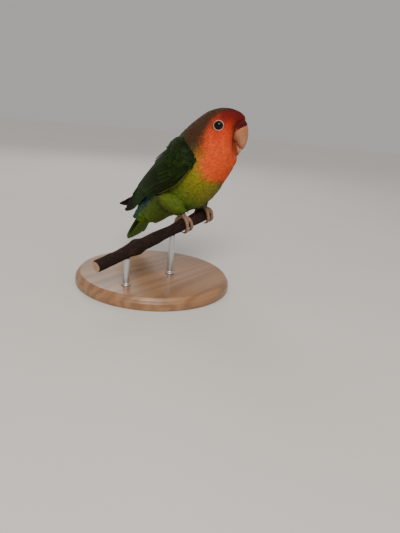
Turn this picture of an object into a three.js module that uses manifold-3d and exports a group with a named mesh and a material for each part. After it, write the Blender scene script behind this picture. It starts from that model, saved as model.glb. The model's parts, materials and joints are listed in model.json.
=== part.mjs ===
// A life-size peach faced lovebird on a cut length of branch, held by a plain display stand.
// Millimetres, +Z up. The origin is the middle of the stand's underside. The bird faces +X and its left is +Y.
import * as THREE from 'three';
import { mergeVertices } from 'three/addons/utils/BufferGeometryUtils.js';
import Module from 'manifold-3d';

const wasm = await Module();
wasm.setup();
const { lerp, smoothstep, degToRad } = THREE.MathUtils;

// Driving sizes

const GAP = 0.3; // between pieces that touch
const GAP_ROW = 0.05; // the same gap between two lengths of the body, as a part of one row
const BIRD = { x: 12, y: 24, z: 46 }; // the bird's own zero, just above the branch between its feet
const SIDES = { right: -1, left: 1 };
const HEAD_TURN = degToRad(27); // the head looks to its left
const NECK_X = 4; // the upright line that the head turns about
// A feather's thickness at root and tip, its width at the root, where its tip rounds off, how round it ends,
// how much closer its cross cuts lie towards the tip, and how far its tip wanders
const VANE = { thick: 0.5, tipThick: 0.35, root: 0.4, shoulder: 0.75, round: 0.22, crowd: 1.35, wander: 0.012 };

const BRANCH = {
  radius: 4, drop: 2.8, heading: degToRad(86), rise: degToRad(13), near: -84, far: 18, sides: 10, steps: 20,
};
const KNOT = { at: -52, length: 3.5, height: 0.9 };
const BASE = { radius: 52, height: 8, edge: 1.5, sides: 40 };
const ROD = { radius: 2, sides: 12, places: { stand_rod_near: -60, stand_rod_far: -20 } };

// The body's cross sections from the face to the tail root, measured from the bird's zero:
// top point (x, z), bottom point (x, z), half width, how boxy the section is, and how far its sides lie back.
const BODY = [
  [29.4, 66.2, 25.2, 45.8, 3.8, 0.2, 4.4],
  [28.2, 68.4, 26.2, 42.8, 6.6, 0.2, 4.0],
  [24.8, 70.8, 26.2, 39.6, 9.6, 0.15, 3.0],
  [18.8, 72.3, 25.0, 36.4, 12.2, 0.1, 1.4],
  [12.0, 71.9, 23.6, 33.2, 13.9, 0.05, 0.3],
  [4.5, 68.9, 21.8, 29.6, 15.6, 0, 0],
  [-2.6, 63.2, 19.2, 24.8, 17.4, 0, 0],
  [-9.8, 56.2, 16.2, 19.4, 19.0, 0, 0],
  [-16.8, 48.2, 12.0, 13.8, 19.0, 0, 0],
  [-23.2, 39.6, 6.2, 8.4, 18.4, 0, 0],
  [-29.4, 30.6, -1.6, 4.0, 17.2, 0, 0],
  [-34.8, 21.0, -11.4, -0.4, 15.0, 0, 0],
  [-38.6, 12.0, -21.4, -4.6, 12.0, 0, 0],
  [-41.0, 4.0, -30.6, -10.0, 8.8, 0, 0],
];
const TURN_ROWS = [5, 8.6]; // the head's turn fades out between these rows
const LENGTHS = { head: [0, 5.6], neck: [5.6, 7.4], torso: [7.4, 13] };
const BODY_CUT = 2; // wings, tail and thighs are cut clear of the body behind this row
const BODY_MESH = { sides: 24, step: 0.4 };

// The bill's two halves, as cross sections like the body's
const BILL_UPPER = [
  [25.5, 67.6, 19.8, 56.0, 5.1, 0, 0],
  [28.8, 65.6, 22.2, 53.1, 5.3, 0, 0],
  [30.6, 63.0, 24.0, 51.7, 5.0, 0, 0],
  [31.7, 59.6, 25.3, 50.5, 4.3, 0, 0],
  [32.0, 55.8, 26.4, 49.5, 3.4, 0, 0],
  [31.5, 52.2, 27.4, 48.7, 2.4, 0, 0],
  [30.6, 49.6, 28.3, 47.8, 1.3, 0, 0],
  [29.6, 47.6, 29.2, 47.3, 0.4, 0, 0],
];
const BILL_LOWER = [
  [19.8, 54.0, 20.0, 46.0, 4.2, 0, 0],
  [22.8, 52.2, 23.4, 44.6, 4.5, 0, 0],
  [25.0, 50.9, 26.0, 44.2, 4.0, 0, 0],
  [26.4, 49.7, 27.5, 44.9, 3.3, 0.2, 0],
  [27.6, 48.7, 28.4, 46.3, 2.3, 0.3, 0],
];
const BILL_MESH = { sides: 14, step: 0.5 };
const NOSTRIL = { row: 0.95, angle: 0.62, radius: 0.65 };
const EYE = { x: 13.9, z: 61.4, radius: 3.2, sink: 1.5 };
const LID = { radius: 3.3, tube: 0.7, sink: 0.15, sides: [5, 16] };

// The folded wing's outer face: its lower edge, its middle and its upper edge from the wrist to the tip,
// measured from the bird's zero, with y outward.
const WING_EDGES = {
  low: [
    [11.2, 17.4, 41.5], [8.4, 20.4, 33], [-1, 21.6, 22.5], [-16, 20.8, 12.6],
    [-33, 16.6, 4.2], [-47.4, 11.2, -6.8], [-59, 7, -9.6],
  ],
  middle: [
    [6.5, 19.2, 47], [1, 21.8, 43.2], [-9, 22, 36], [-22.5, 19, 26.8],
    [-37, 13.2, 15.4], [-49.5, 8.4, 2.4], [-60, 5.2, -5.6],
  ],
  top: [
    [0, 16.2, 51], [-8.4, 12.8, 51], [-19.4, 6.4, 46.4], [-32, 2.6, 36.8],
    [-43, 2.4, 24], [-52.4, 2.6, 10.6], [-60.6, 3, -1.8],
  ],
};
const WING_REACH = { right: 3, left: 19 }; // how much further back each wing's tip lies
const REACH = { way: [-0.92, 0, 0.1], power: 4 };
const WING_CORE = { end: 0.52, steps: 9, cells: 8, depth: [7, 3], thin: 1.2, lower: 1.4 };
const MIDLINE = 0.4; // each wing's clearance from the bird's middle plane

// The wing's feather rows. root and tip give (s, q) of the lowest and the highest feather: s runs from the
// wrist to the wing's tip and q from the lower edge to the upper edge. lift is the height over the wing's face
// at root and tip, stack raises each next feather, and tilt raises a feather's lower edge over its neighbour.
const WING_ROWS = [
  {
    count: 4, root: [0.44, 0.2, 0.46, 0.58], tip: [1, 0.4, 0.85, 0.74], half: 3.1,
    lift: [-2.8, -1.8], stack: 0.8, tilt: 0, steps: 5,
  },
  {
    count: 7, root: [0.26, 0.12, 0.24, 0.86], tip: [0.6, 0.14, 0.74, 0.84], half: 3.4,
    lift: [-2, 0.9], stack: 0, tilt: 0.5, steps: 4,
  },
  {
    count: 2, root: [0.14, 0.07, 0.14, 0.15], tip: [0.47, 0.06, 0.44, 0.16], half: 2.4,
    lift: [-2, 0.8], stack: 0, tilt: 0.5, steps: 3,
  },
  {
    count: 6, root: [0.11, 0.2, 0.1, 0.86], tip: [0.4, 0.24, 0.46, 0.88], half: 3.5,
    lift: [-2.2, 1.1], stack: 0, tilt: 0.5, steps: 3,
  },
  {
    count: 7, root: [0.02, 0.14, 0.01, 0.86], tip: [0.25, 0.12, 0.3, 0.88], half: 3.3,
    lift: [-2.2, 1.1], stack: 0, tilt: 0.5, steps: 3,
  },
];

// The tail: a wedge of coverts over the roots of the long feathers, which fan from the middle one outward
const TAIL = { root: [-36.5, 9], tip: [-60.2, -29.4], arch: 0.014, bow: 1.6 };
const TAIL_CORE = {
  end: 0.5, half: 9.2, over: [3, 0.4], under: [0.5, 17], fall: 1.2, steps: 6, sides: 14, shrink: 1,
};
const TAIL_FAN = {
  start: 0.06, aside: 4, root: 1.1, tip: 1.9, half: 2.7, shorter: 0.022, curve: 1.4, stack: 0.5, tilt: 0.45,
  steps: 5,
};
const COVERT = { rise: [-1, 0.9], tilt: 0.3 }; // over the core at root and tip, and the outer edge's drop
const TAIL_COVERTS = [
  { over: true, count: 3, from: 0, to: 0.44, spread: 4.2, half: 3, steps: 3 },
  { over: true, count: 3, from: -0.06, to: 0.28, spread: 4.4, half: 3, steps: 3 },
  { over: false, count: 3, from: 0.26, to: 0.84, spread: 3.2, half: 2.8, steps: 3 },
  { over: false, count: 4, from: 0.1, to: 0.62, spread: 5, half: 2.8, steps: 3 },
];

const FOOT = {
  spread: 10.4, middle: 1.5, pad: 1.9, shank: [2.2, 1.7, 1.9], ankle: 0.3, knee: [-3.5, -0.6, 9], sides: 8,
};
const TOE = {
  radius: 1.45, taper: 0.22, knuckle: 0.08, knuckles: 2.1, start: -0.12, lift: 0.92, spread: 1.3,
  steps: 7, sides: 6,
};
const CLAW = {
  radius: 0.95, turn: 0.78, height: 1.25, arch: [0.35, 0.9], sink: 0.04, steps: 5, sides: 6, tip: 0.16,
};
const TOES = [
  { name: 'inner_front', aside: 1.45, bend: 2.25, way: 1 },
  { name: 'outer_front', aside: -1.8, bend: 2.5, way: 1 },
  { name: 'inner_back', aside: 1.8, bend: 2.05, way: -1 },
  { name: 'outer_back', aside: -2, bend: 2.35, way: -1 },
];
// The feathered thigh: middle point (x, y, z) with y outward, and radius
const THIGH = [
  [-19, 11, 14.5, 8.2],
  [-14, 12.4, 12.8, 8.4],
  [-9.5, 12.8, 10.2, 8],
  [-5.6, 12.8, 7.8, 6.9],
  [-2.8, 12.2, 5.8, 5.4],
  [-0.8, 11.6, 4.6, 3.4],
];
const THIGH_SIDES = 14;
const THIGH_CLEAR = 2; // from the wing's flesh

const FINISH = {
  face: { color: 0xd2571f, roughness: 0.85 },
  neck: { color: 0x8f7a2a, roughness: 0.85 },
  body: { color: 0x6d8f1e, roughness: 0.85 },
  wing: { color: 0x1f4a1c, roughness: 0.75 },
  tail: { color: 0x3c7a2c, roughness: 0.75 },
  bill: { color: 0xd8b49a, roughness: 0.45 },
  eye: { color: 0x140c08, roughness: 0.08 },
  leg: { color: 0x77706c, roughness: 0.7 },
  claw: { color: 0x2a2422, roughness: 0.4 },
  bark: { color: 0x4b3226, roughness: 0.95 },
  wood: { color: 0x9a6b42, roughness: 0.45 },
  steel: { color: 0xb8bcc0, roughness: 0.3, metalness: 1 },
};

const part = new THREE.Group();

// Solids

// A row of numbers read smoothly between the rows of a table, at a row number that may be a fraction
function readRow(rows, t) {
  const first = Math.min(Math.max(Math.floor(t), 0), rows.length - 2);
  const f = t - first;
  const row = (k) => rows[Math.min(Math.max(first + k, 0), rows.length - 1)];
  return rows[0].map((_, c) => {
    const [a, b, d, e] = [row(-1)[c], row(0)[c], row(1)[c], row(2)[c]];
    return 0.5 * (2 * b + (d - a) * f + (2 * a - 5 * b + 4 * d - e) * f * f + (3 * b - a - 3 * d + e) * f ** 3);
  });
}

// A closed body from points and triangles, with its faces turned outward
function solid(points, faces) {
  let volume = 0;
  for (let i = 0; i < faces.length; i += 3) {
    const [a, b, c] = faces.slice(i, i + 3).map((k) => points[k]);
    volume += a.dot(new THREE.Vector3().crossVectors(b, c));
  }
  const order = volume < 0 ? [...faces].reverse() : faces;
  const vertProperties = new Float32Array(points.flatMap((p) => [p.x, p.y, p.z]));
  return new wasm.Manifold(new wasm.Mesh({ numProp: 3, vertProperties, triVerts: new Uint32Array(order) }));
}

// A closed body through a list of rings that have the same number of points
function loft(rings) {
  const n = rings[0].length;
  const points = rings.flat();
  const faces = [];
  for (let r = 0; r < rings.length - 1; r += 1) {
    for (let k = 0; k < n; k += 1) {
      const a = r * n + k;
      const b = r * n + ((k + 1) % n);
      faces.push(a, b, b + n, a, b + n, a + n);
    }
  }
  [0, rings.length - 1].forEach((r) => {
    points.push(rings[r].reduce((sum, p) => sum.add(p), new THREE.Vector3()).divideScalar(n));
    const centre = points.length - 1;
    for (let k = 0; k < n; k += 1) {
      const a = r * n + k;
      const b = r * n + ((k + 1) % n);
      faces.push(...(r === 0 ? [centre, b, a] : [centre, a, b]));
    }
  });
  return solid(points, faces);
}

// A closed body from a three.js geometry
function solidOf(geometry) {
  const bare = geometry.clone();
  bare.deleteAttribute('normal');
  bare.deleteAttribute('uv');
  const merged = mergeVertices(bare, 1e-4);
  const p = merged.attributes.position;
  const points = [];
  for (let i = 0; i < p.count; i += 1) points.push(new THREE.Vector3().fromBufferAttribute(p, i));
  return solid(points, Array.from(merged.index.array));
}

// A round tube through centres with a radius each
function tube(centres, radii, sides, upright) {
  const rings = centres.map((centre, i) => {
    const before = centres[Math.max(0, i - 1)];
    const after = centres[Math.min(centres.length - 1, i + 1)];
    const along = after.clone().sub(before).normalize();
    const across = new THREE.Vector3().crossVectors(along, upright).normalize();
    const other = new THREE.Vector3().crossVectors(along, across);
    return around(sides, (angle) => (
      centre.clone()
        .addScaledVector(across, radii[i] * Math.cos(angle))
        .addScaledVector(other, radii[i] * Math.sin(angle))
    ));
  });
  return loft(rings);
}

const span = (count, make) => Array.from({ length: count + 1 }, (_, i) => make(i / count, i));
const around = (sides, make) => Array.from({ length: sides }, (_, k) => make((k / sides) * 2 * Math.PI));
const ball = (centre, radius, sides = 14) => (
  solidOf(new THREE.SphereGeometry(radius, sides, Math.round(sides * 0.7)).translate(...centre))
);
const join = (bodies) => bodies.reduce((all, body) => all.add(body));
const cut = (body, tools) => tools.reduce((left, tool) => left.subtract(tool), body);
const largest = (body) => body.decompose().sort((a, b) => b.volume() - a.volume())[0];

function addNode(name, body, finish) {
  const mesh = largest(body).getMesh();
  const geometry = new THREE.BufferGeometry();
  geometry.setAttribute('position', new THREE.BufferAttribute(mesh.vertProperties, 3));
  geometry.setIndex(new THREE.BufferAttribute(mesh.triVerts, 1));
  const node = new THREE.Mesh(geometry, new THREE.MeshStandardMaterial(finish));
  node.name = name;
  part.add(node);
}

// A repeatable random number from 0 to 1
function makeRandom(seed) {
  let state = seed;
  return () => {
    state = (state * 1664525 + 1013904223) % 4294967296;
    return state / 4294967296;
  };
}

// Places on the bird

const atBird = (x, y, z) => new THREE.Vector3(BIRD.x + x, BIRD.y + y, BIRD.z + z);

// A point of the bird, turned with the head by a weight from 0 to 1
function turned(x, y, z, weight = 1) {
  const angle = HEAD_TURN * weight;
  const ahead = x - NECK_X;
  return atBird(
    NECK_X + ahead * Math.cos(angle) - y * Math.sin(angle),
    ahead * Math.sin(angle) + y * Math.cos(angle),
    z,
  );
}

const headWeight = (t) => 1 - smoothstep(t, ...TURN_ROWS);

// A point on a sectioned form, grown outward by some millimetres
function sectionPoint(rows, t, angle, grow, weight) {
  const [tx, tz, bx, bz, half, boxy, back] = readRow(rows, t);
  const height = Math.hypot(tx - bx, tz - bz) / 2;
  const [ux, uz] = [(tx - bx) / 2 / height, (tz - bz) / 2 / height];
  const shape = (v) => Math.sign(v) * Math.abs(v) ** (1 - boxy);
  const up = (height + grow) * shape(Math.cos(angle));
  const out = (half + grow) * shape(Math.sin(angle));
  const x = (tx + bx) / 2 + ux * up - back * Math.sin(angle) ** 2;
  return turned(x, out, (tz + bz) / 2 + uz * up, weight);
}

function sectionLoft(rows, [from, to], grow, weightAt, { sides, step }) {
  const count = Math.max(2, Math.round((to - from) / step));
  return loft(span(count, (f) => {
    const t = lerp(from, to, f);
    return around(sides, (angle) => sectionPoint(rows, t, angle, grow, weightAt(t)));
  }));
}

const bodyLoft = (range, grow = 0) => sectionLoft(BODY, range, grow, headWeight, BODY_MESH);
const billLoft = (rows, grow = 0) => sectionLoft(rows, [0, rows.length - 1], grow, () => 1, BILL_MESH);

// Feathers

// How wide a feather is along its length, as a part of its greatest half width
function bladeWidth(f) {
  const rootPart = Math.min(1, VANE.root + 2 * f);
  const past = Math.max(0, (f - VANE.shoulder) / (1 - VANE.shoulder));
  return rootPart * Math.sqrt(1 - (1 - VANE.round ** 2) * past ** 2);
}

// One feather: a thin blade with a rounded tip, both faces split into triangles alike.
// place(f, w, height) is its point at f along, w across from -1 to 1, and height over its middle.
function vane(place, steps) {
  const points = [];
  const faces = [];
  const at = (i, j, face) => (i * 3 + j) * 2 + face;
  const quad = (a, b, c, d) => faces.push(a, b, c, a, c, d);
  span(steps, (even) => {
    const f = 1 - (1 - even) ** VANE.crowd;
    const half = lerp(VANE.thick, VANE.tipThick, f) / 2;
    [-1, 0, 1].forEach((w) => points.push(place(f, w, half), place(f, w, -half)));
  });
  for (let i = 0; i < steps; i += 1) {
    for (let j = 0; j < 2; j += 1) {
      quad(at(i, j, 0), at(i + 1, j, 0), at(i + 1, j + 1, 0), at(i, j + 1, 0));
      faces.push(at(i, j, 1), at(i + 1, j + 1, 1), at(i + 1, j, 1));
      faces.push(at(i, j, 1), at(i, j + 1, 1), at(i + 1, j + 1, 1));
    }
    quad(at(i, 0, 0), at(i, 0, 1), at(i + 1, 0, 1), at(i + 1, 0, 0));
    quad(at(i, 2, 1), at(i, 2, 0), at(i + 1, 2, 0), at(i + 1, 2, 1));
  }
  for (let j = 0; j < 2; j += 1) {
    quad(at(0, j, 0), at(0, j + 1, 0), at(0, j + 1, 1), at(0, j, 1));
    quad(at(steps, j, 1), at(steps, j + 1, 1), at(steps, j + 1, 0), at(steps, j, 0));
  }
  return solid(points, faces);
}

// Branch and stand

const branchAxis = new THREE.Vector3(
  Math.cos(BRANCH.heading) * Math.cos(BRANCH.rise),
  Math.sin(BRANCH.heading) * Math.cos(BRANCH.rise),
  Math.sin(BRANCH.rise),
);
const branchMiddle = atBird(0, 0, -BRANCH.drop);
const branchAhead = new THREE.Vector3(branchAxis.y, -branchAxis.x, 0).normalize();
const branchUp = new THREE.Vector3().crossVectors(branchAhead, branchAxis).normalize();

// Slow swellings and one knot along the branch
function branchRadius(along) {
  const swell = 0.28 * Math.sin(along * 0.11 + 0.6) + 0.16 * Math.sin(along * 0.31);
  return BRANCH.radius + swell + KNOT.height * Math.exp(-(((along - KNOT.at) / KNOT.length) ** 2));
}

function branchPoint(along, angle, radius) {
  return branchMiddle.clone()
    .addScaledVector(branchAxis, along)
    .addScaledVector(branchUp, radius * Math.cos(angle))
    .addScaledVector(branchAhead, radius * Math.sin(angle));
}

function branchBody(grow = 0) {
  return loft(span(BRANCH.steps, (f) => {
    const along = lerp(BRANCH.near, BRANCH.far, f);
    return around(BRANCH.sides, (angle) => branchPoint(along, angle, branchRadius(along) + grow));
  }));
}

function standBase() {
  const { radius, height, edge, sides } = BASE;
  const profile = [[0, 0], [radius, 0], [radius, height - edge], [radius - edge, height], [0, height]];
  const base = new THREE.LatheGeometry(profile.map(([x, y]) => new THREE.Vector2(x, y)), sides);
  return solidOf(base.rotateX(Math.PI / 2));
}

function standRod(along) {
  const top = branchPoint(along, 0, 0);
  const bottom = BASE.height + GAP;
  const rod = new THREE.CylinderGeometry(ROD.radius, ROD.radius, top.z - bottom, ROD.sides);
  return solidOf(rod.rotateX(Math.PI / 2).translate(top.x, top.y, (top.z + bottom) / 2));
}

// Head

// The head's half width at a place of its side view
function headHalfWidth(x, z) {
  let widest = 0;
  for (let t = LENGTHS.head[0]; t < LENGTHS.head[1]; t += 0.05) {
    const [tx, tz, bx, bz, half] = readRow(BODY, t);
    const height = Math.hypot(tx - bx, tz - bz) / 2;
    const [ux, uz] = [(tx - bx) / 2 / height, (tz - bz) / 2 / height];
    const [dx, dz] = [x - (tx + bx) / 2, z - (tz + bz) / 2];
    const up = dx * ux + dz * uz;
    const nearRow = Math.abs(dx * uz - dz * ux) < 0.4 && Math.abs(up) < height;
    if (nearRow) widest = Math.max(widest, half * Math.sqrt(1 - (up / height) ** 2));
  }
  return widest;
}

const eyeHalf = headHalfWidth(EYE.x, EYE.z);
const eyeMiddle = (side) => turned(EYE.x, SIDES[side] * (eyeHalf - EYE.radius + EYE.sink), EYE.z);
const eyeBall = (side, grow = 0) => ball(eyeMiddle(side), EYE.radius + grow);

function lidRing(side) {
  const ring = new THREE.TorusGeometry(LID.radius, LID.tube, ...LID.sides);
  const middle = turned(EYE.x, SIDES[side] * (eyeHalf - LID.sink), EYE.z);
  return solidOf(ring.rotateX(Math.PI / 2).rotateZ(HEAD_TURN).translate(...middle));
}

const nostril = (side) => (
  ball(sectionPoint(BILL_UPPER, NOSTRIL.row, SIDES[side] * NOSTRIL.angle, 0, 1), NOSTRIL.radius, 8)
);

// Wings

function wingFace(s, q) {
  const read = (edge) => new THREE.Vector3(...readRow(edge, s * (edge.length - 1)));
  return read(WING_EDGES.low).multiplyScalar((1 - q) * (1 - 2 * q))
    .addScaledVector(read(WING_EDGES.middle), 4 * q * (1 - q))
    .addScaledVector(read(WING_EDGES.top), q * (2 * q - 1));
}

// A point over the wing's outer face, at s from wrist to tip and q from the lower to the upper edge
function wingPoint(side, s, q, lift) {
  const step = 0.01;
  const along = wingFace(s + step, q).sub(wingFace(s - step, q));
  const across = wingFace(s, q + step).sub(wingFace(s, q - step));
  const out = new THREE.Vector3().crossVectors(along, across).normalize();
  const p = wingFace(s, q).addScaledVector(out, lift);
  p.addScaledVector(new THREE.Vector3(...REACH.way), WING_REACH[side] * Math.max(s, 0) ** REACH.power);
  return atBird(p.x, SIDES[side] * p.y, p.z);
}

const wingSpan = (s) => (
  wingFace(s, 0).distanceTo(wingFace(s, 0.5)) + wingFace(s, 0.5).distanceTo(wingFace(s, 1))
);

// The wing's flesh under its feathers, from the wrist to the roots of the long feathers
function wingCore(side, grow = 0) {
  return loft(span(WING_CORE.steps, (f) => {
    const s = f * WING_CORE.end;
    const wider = grow / wingSpan(s);
    const outer = grow - WING_CORE.lower * f ** 2;
    const depth = lerp(...WING_CORE.depth, f);
    const out = span(WING_CORE.cells, (q) => wingPoint(side, s, lerp(-wider, 1 + wider, q), outer));
    const back = span(WING_CORE.cells, (f2) => {
      const q = 1 - f2;
      const inner = outer - 2 * grow - WING_CORE.thin - depth * Math.sqrt(4 * q * (1 - q));
      return wingPoint(side, s, lerp(-wider, 1 + wider, q), inner);
    });
    return [...out, ...back];
  }));
}

function wingFeather(side, row, f, random) {
  const [rootS, rootQ, rootS2, rootQ2] = row.root;
  const [tipS, tipQ, tipS2, tipQ2] = row.tip;
  const wander = () => (random() - 0.5) * 2 * VANE.wander;
  const root = [lerp(rootS, rootS2, f), lerp(rootQ, rootQ2, f)];
  const tip = [lerp(tipS, tipS2, f) + wander(), lerp(tipQ, tipQ2, f) + wander()];
  const raised = row.stack * f * (row.count - 1);
  return vane((along, w, height) => {
    const s = lerp(root[0], tip[0], along);
    const q = lerp(root[1], tip[1], along) + (w * row.half * bladeWidth(along)) / wingSpan(Math.min(s, 1));
    return wingPoint(side, s, q, lerp(...row.lift, along) + raised - row.tilt * w + height);
  }, row.steps);
}

function wingBody(side) {
  const random = makeRandom(side.length);
  const feathers = WING_ROWS.flatMap((row) => span(row.count - 1, (f) => wingFeather(side, row, f, random)));
  const otherSide = new THREE.BoxGeometry(300, 100, 300).translate(
    BIRD.x,
    BIRD.y - SIDES[side] * (50 - MIDLINE),
    BIRD.z,
  );
  return join([wingCore(side), ...feathers]).subtract(solidOf(otherSide));
}

// Tail

const tailStart = new THREE.Vector2(...TAIL.root);
const tailWay = new THREE.Vector2(...TAIL.tip).sub(tailStart);
const tailOver = new THREE.Vector2(tailWay.y, -tailWay.x).normalize(); // away from the belly

// A point at f along the tail, y to the bird's left, and lift over the middle feather
function tailPoint(f, y, lift) {
  const up = lift - TAIL.arch * y * y + TAIL.bow * 4 * f * (1 - f);
  return atBird(
    tailStart.x + tailWay.x * f + tailOver.x * up,
    y,
    tailStart.y + tailWay.y * f + tailOver.y * up,
  );
}

const overDepth = (f) => lerp(...TAIL_CORE.over, Math.sqrt(Math.max(0, f)));
const underDepth = (f) => TAIL_CORE.under[0] + TAIL_CORE.under[1] * (1 - f) ** TAIL_CORE.fall;

function tailCore() {
  return loft(span(TAIL_CORE.steps, (even) => {
    const f = even * TAIL_CORE.end;
    const half = TAIL_CORE.half - TAIL_CORE.shrink * even;
    return around(TAIL_CORE.sides, (angle) => {
      const depth = Math.cos(angle) > 0 ? overDepth(f) : underDepth(f);
      return tailPoint(f, half * Math.sin(angle), depth * Math.cos(angle));
    });
  }));
}

// The long tail feathers: number 0 is the middle one, on top, and each next one aside lies under the last
function tailFeather(number, side) {
  const fan = TAIL_FAN;
  const tip = 1 - fan.shorter * number ** fan.curve;
  return vane((along, w, height) => {
    const y = side * number * lerp(fan.root, fan.tip, along) + w * fan.half * bladeWidth(along);
    const inward = number === 0 ? 0 : -side * w;
    return tailPoint(lerp(fan.start, tip, along), y, fan.tilt * inward - fan.stack * number + height);
  }, fan.steps);
}

function tailCovert(row, f) {
  const middle = lerp(-row.spread, row.spread, f);
  return vane((along, w, height) => {
    const at = lerp(row.from, row.to, along);
    const y = middle + w * row.half * bladeWidth(along);
    const side = Math.min(0.95, Math.abs(y) / TAIL_CORE.half);
    const raised = lerp(...COVERT.rise, along) - COVERT.tilt * Math.sign(middle) * w;
    if (row.over) return tailPoint(at, y, overDepth(at) * Math.sqrt(1 - side ** 2) + raised + height);
    return tailPoint(at, y, -underDepth(at) * Math.sqrt(1 - side ** 2) - raised + height);
  }, row.steps);
}

function tailBody() {
  const fan = [tailFeather(0, 0)];
  for (let number = 1; number <= TAIL_FAN.aside; number += 1) {
    fan.push(tailFeather(number, -1), tailFeather(number, 1));
  }
  const coverts = TAIL_COVERTS.flatMap((row) => span(row.count - 1, (f) => tailCovert(row, f)));
  return join([tailCore(), ...fan, ...coverts]);
}

// Legs

const footPlace = (side) => FOOT.middle + SIDES[side] * FOOT.spread;

function toePoint(side, toe, angle, lift) {
  const along = footPlace(side) - SIDES[side] * toe.aside * Math.min(angle, TOE.spread);
  return branchPoint(along, toe.way * angle, branchRadius(along) + GAP + lift);
}

function toeBody(side, toe, grow) {
  const radii = span(TOE.steps, (f, i) => (
    TOE.radius * (1 - TOE.taper * f) * (1 + TOE.knuckle * Math.cos(i * TOE.knuckles))
  ));
  const centres = span(TOE.steps, (f, i) => toePoint(side, toe, toe.bend * f + TOE.start, radii[i] * TOE.lift));
  return tube(centres, radii.map((r) => r + grow), TOE.sides, branchAxis);
}

function clawBody(side, toe) {
  const [rise, fall] = CLAW.arch;
  const centres = span(CLAW.steps, (f) => (
    toePoint(side, toe, toe.bend - CLAW.sink + CLAW.turn * f, CLAW.height + rise * f - fall * f * f)
  ));
  const radii = span(CLAW.steps, (f) => lerp(CLAW.radius, CLAW.tip, f));
  return tube(centres, radii, CLAW.sides, branchAxis);
}

function footBody(side, grow = 0) {
  const y = footPlace(side);
  const pad = branchPoint(y, 0, branchRadius(y) + FOOT.pad);
  const [kneeX, kneeIn, kneeUp] = FOOT.knee;
  const knee = pad.clone().add(new THREE.Vector3(kneeX, SIDES[side] * kneeIn, kneeUp));
  const centres = [pad, pad.clone().lerp(knee, FOOT.ankle), knee];
  const shank = tube(centres, FOOT.shank.map((r) => r + grow), FOOT.sides, branchAxis);
  return join([shank, ...TOES.map((toe) => toeBody(side, toe, grow))]);
}

function thighBody(side) {
  const centres = THIGH.map(([x, y, z]) => atBird(x, SIDES[side] * y, z));
  return tube(centres, THIGH.map(([, , , radius]) => radius), THIGH_SIDES, branchAxis);
}

// Assembly: each piece is cut clear of those that it meets

const sideNames = Object.keys(SIDES);
const branchGrown = branchBody(GAP);
const bodyGrown = bodyLoft([BODY_CUT, LENGTHS.torso[1]], GAP);
const billUpperGrown = billLoft(BILL_UPPER, GAP);

addNode('branch', branchBody(), FINISH.bark);
addNode('stand_base', standBase(), FINISH.wood);
Object.entries(ROD.places).forEach(([name, along]) => {
  addNode(name, cut(standRod(along), [branchGrown]), FINISH.steel);
});

const sockets = sideNames.map((side) => eyeBall(side, GAP));
const headForm = join([bodyLoft(LENGTHS.head), ...sideNames.map(lidRing)]);
addNode('head', cut(headForm, [billUpperGrown, billLoft(BILL_LOWER, GAP), ...sockets]), FINISH.face);
addNode('neck', bodyLoft([LENGTHS.neck[0] + GAP_ROW, LENGTHS.neck[1] - GAP_ROW]), FINISH.neck);
addNode('torso', bodyLoft(LENGTHS.torso), FINISH.body);
addNode('bill_upper', cut(billLoft(BILL_UPPER), sideNames.map(nostril)), FINISH.bill);
addNode('bill_lower', cut(billLoft(BILL_LOWER), [billUpperGrown]), FINISH.bill);
addNode('tail', cut(tailBody(), [bodyGrown]), FINISH.tail);

sideNames.forEach((side) => {
  addNode(`eye_${side}`, eyeBall(side), FINISH.eye);
  addNode(`wing_${side}`, cut(wingBody(side), [bodyGrown]), FINISH.wing);
  addNode(`foot_${side}`, cut(footBody(side), [branchGrown, bodyGrown]), FINISH.leg);
  const footGrown = footBody(side, GAP);
  const thighTools = [bodyGrown, branchGrown, footGrown, wingCore(side, THIGH_CLEAR)];
  addNode(`thigh_${side}`, cut(thighBody(side), thighTools), FINISH.body);
  TOES.forEach((toe) => {
    addNode(`claw_${side}_${toe.name}`, cut(clawBody(side, toe), [branchGrown, footGrown]), FINISH.claw);
  });
});

export default part;
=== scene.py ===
"""Builds the looks of a life-size peach faced lovebird on a cut branch, over the same model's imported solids.

Sizes in the tables are millimetres, as a bird modeller measures them, and every mesh is made in metres.
"""

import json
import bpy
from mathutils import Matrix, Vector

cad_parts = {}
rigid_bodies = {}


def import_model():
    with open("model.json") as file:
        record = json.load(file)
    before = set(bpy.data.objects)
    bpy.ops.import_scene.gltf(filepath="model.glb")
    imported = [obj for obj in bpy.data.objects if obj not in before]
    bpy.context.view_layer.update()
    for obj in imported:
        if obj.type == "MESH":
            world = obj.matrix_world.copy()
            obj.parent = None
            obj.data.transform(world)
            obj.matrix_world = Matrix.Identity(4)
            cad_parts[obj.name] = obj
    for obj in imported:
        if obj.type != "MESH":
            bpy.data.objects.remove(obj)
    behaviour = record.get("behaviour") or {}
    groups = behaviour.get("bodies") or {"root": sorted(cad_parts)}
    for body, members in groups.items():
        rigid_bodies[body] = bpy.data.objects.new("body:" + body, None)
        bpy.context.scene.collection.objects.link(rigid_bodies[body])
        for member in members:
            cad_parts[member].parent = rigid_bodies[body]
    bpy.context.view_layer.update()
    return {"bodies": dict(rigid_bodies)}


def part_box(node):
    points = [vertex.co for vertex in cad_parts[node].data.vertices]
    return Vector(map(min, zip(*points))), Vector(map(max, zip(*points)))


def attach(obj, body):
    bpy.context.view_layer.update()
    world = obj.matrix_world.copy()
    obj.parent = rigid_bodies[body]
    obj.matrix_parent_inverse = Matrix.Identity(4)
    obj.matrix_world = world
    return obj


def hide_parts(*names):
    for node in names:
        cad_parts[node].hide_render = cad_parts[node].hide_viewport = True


bl_info = {
    "name": "Perched Lovebird Model",
    "version": (1, 0, 0),
    "blender": (4, 5, 0),
    "location": "View3D > Sidebar > Lovebird",
    "description": "Builds a feathered lovebird on a branch over its packed solids",
    "category": "Add Mesh",
}

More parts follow.
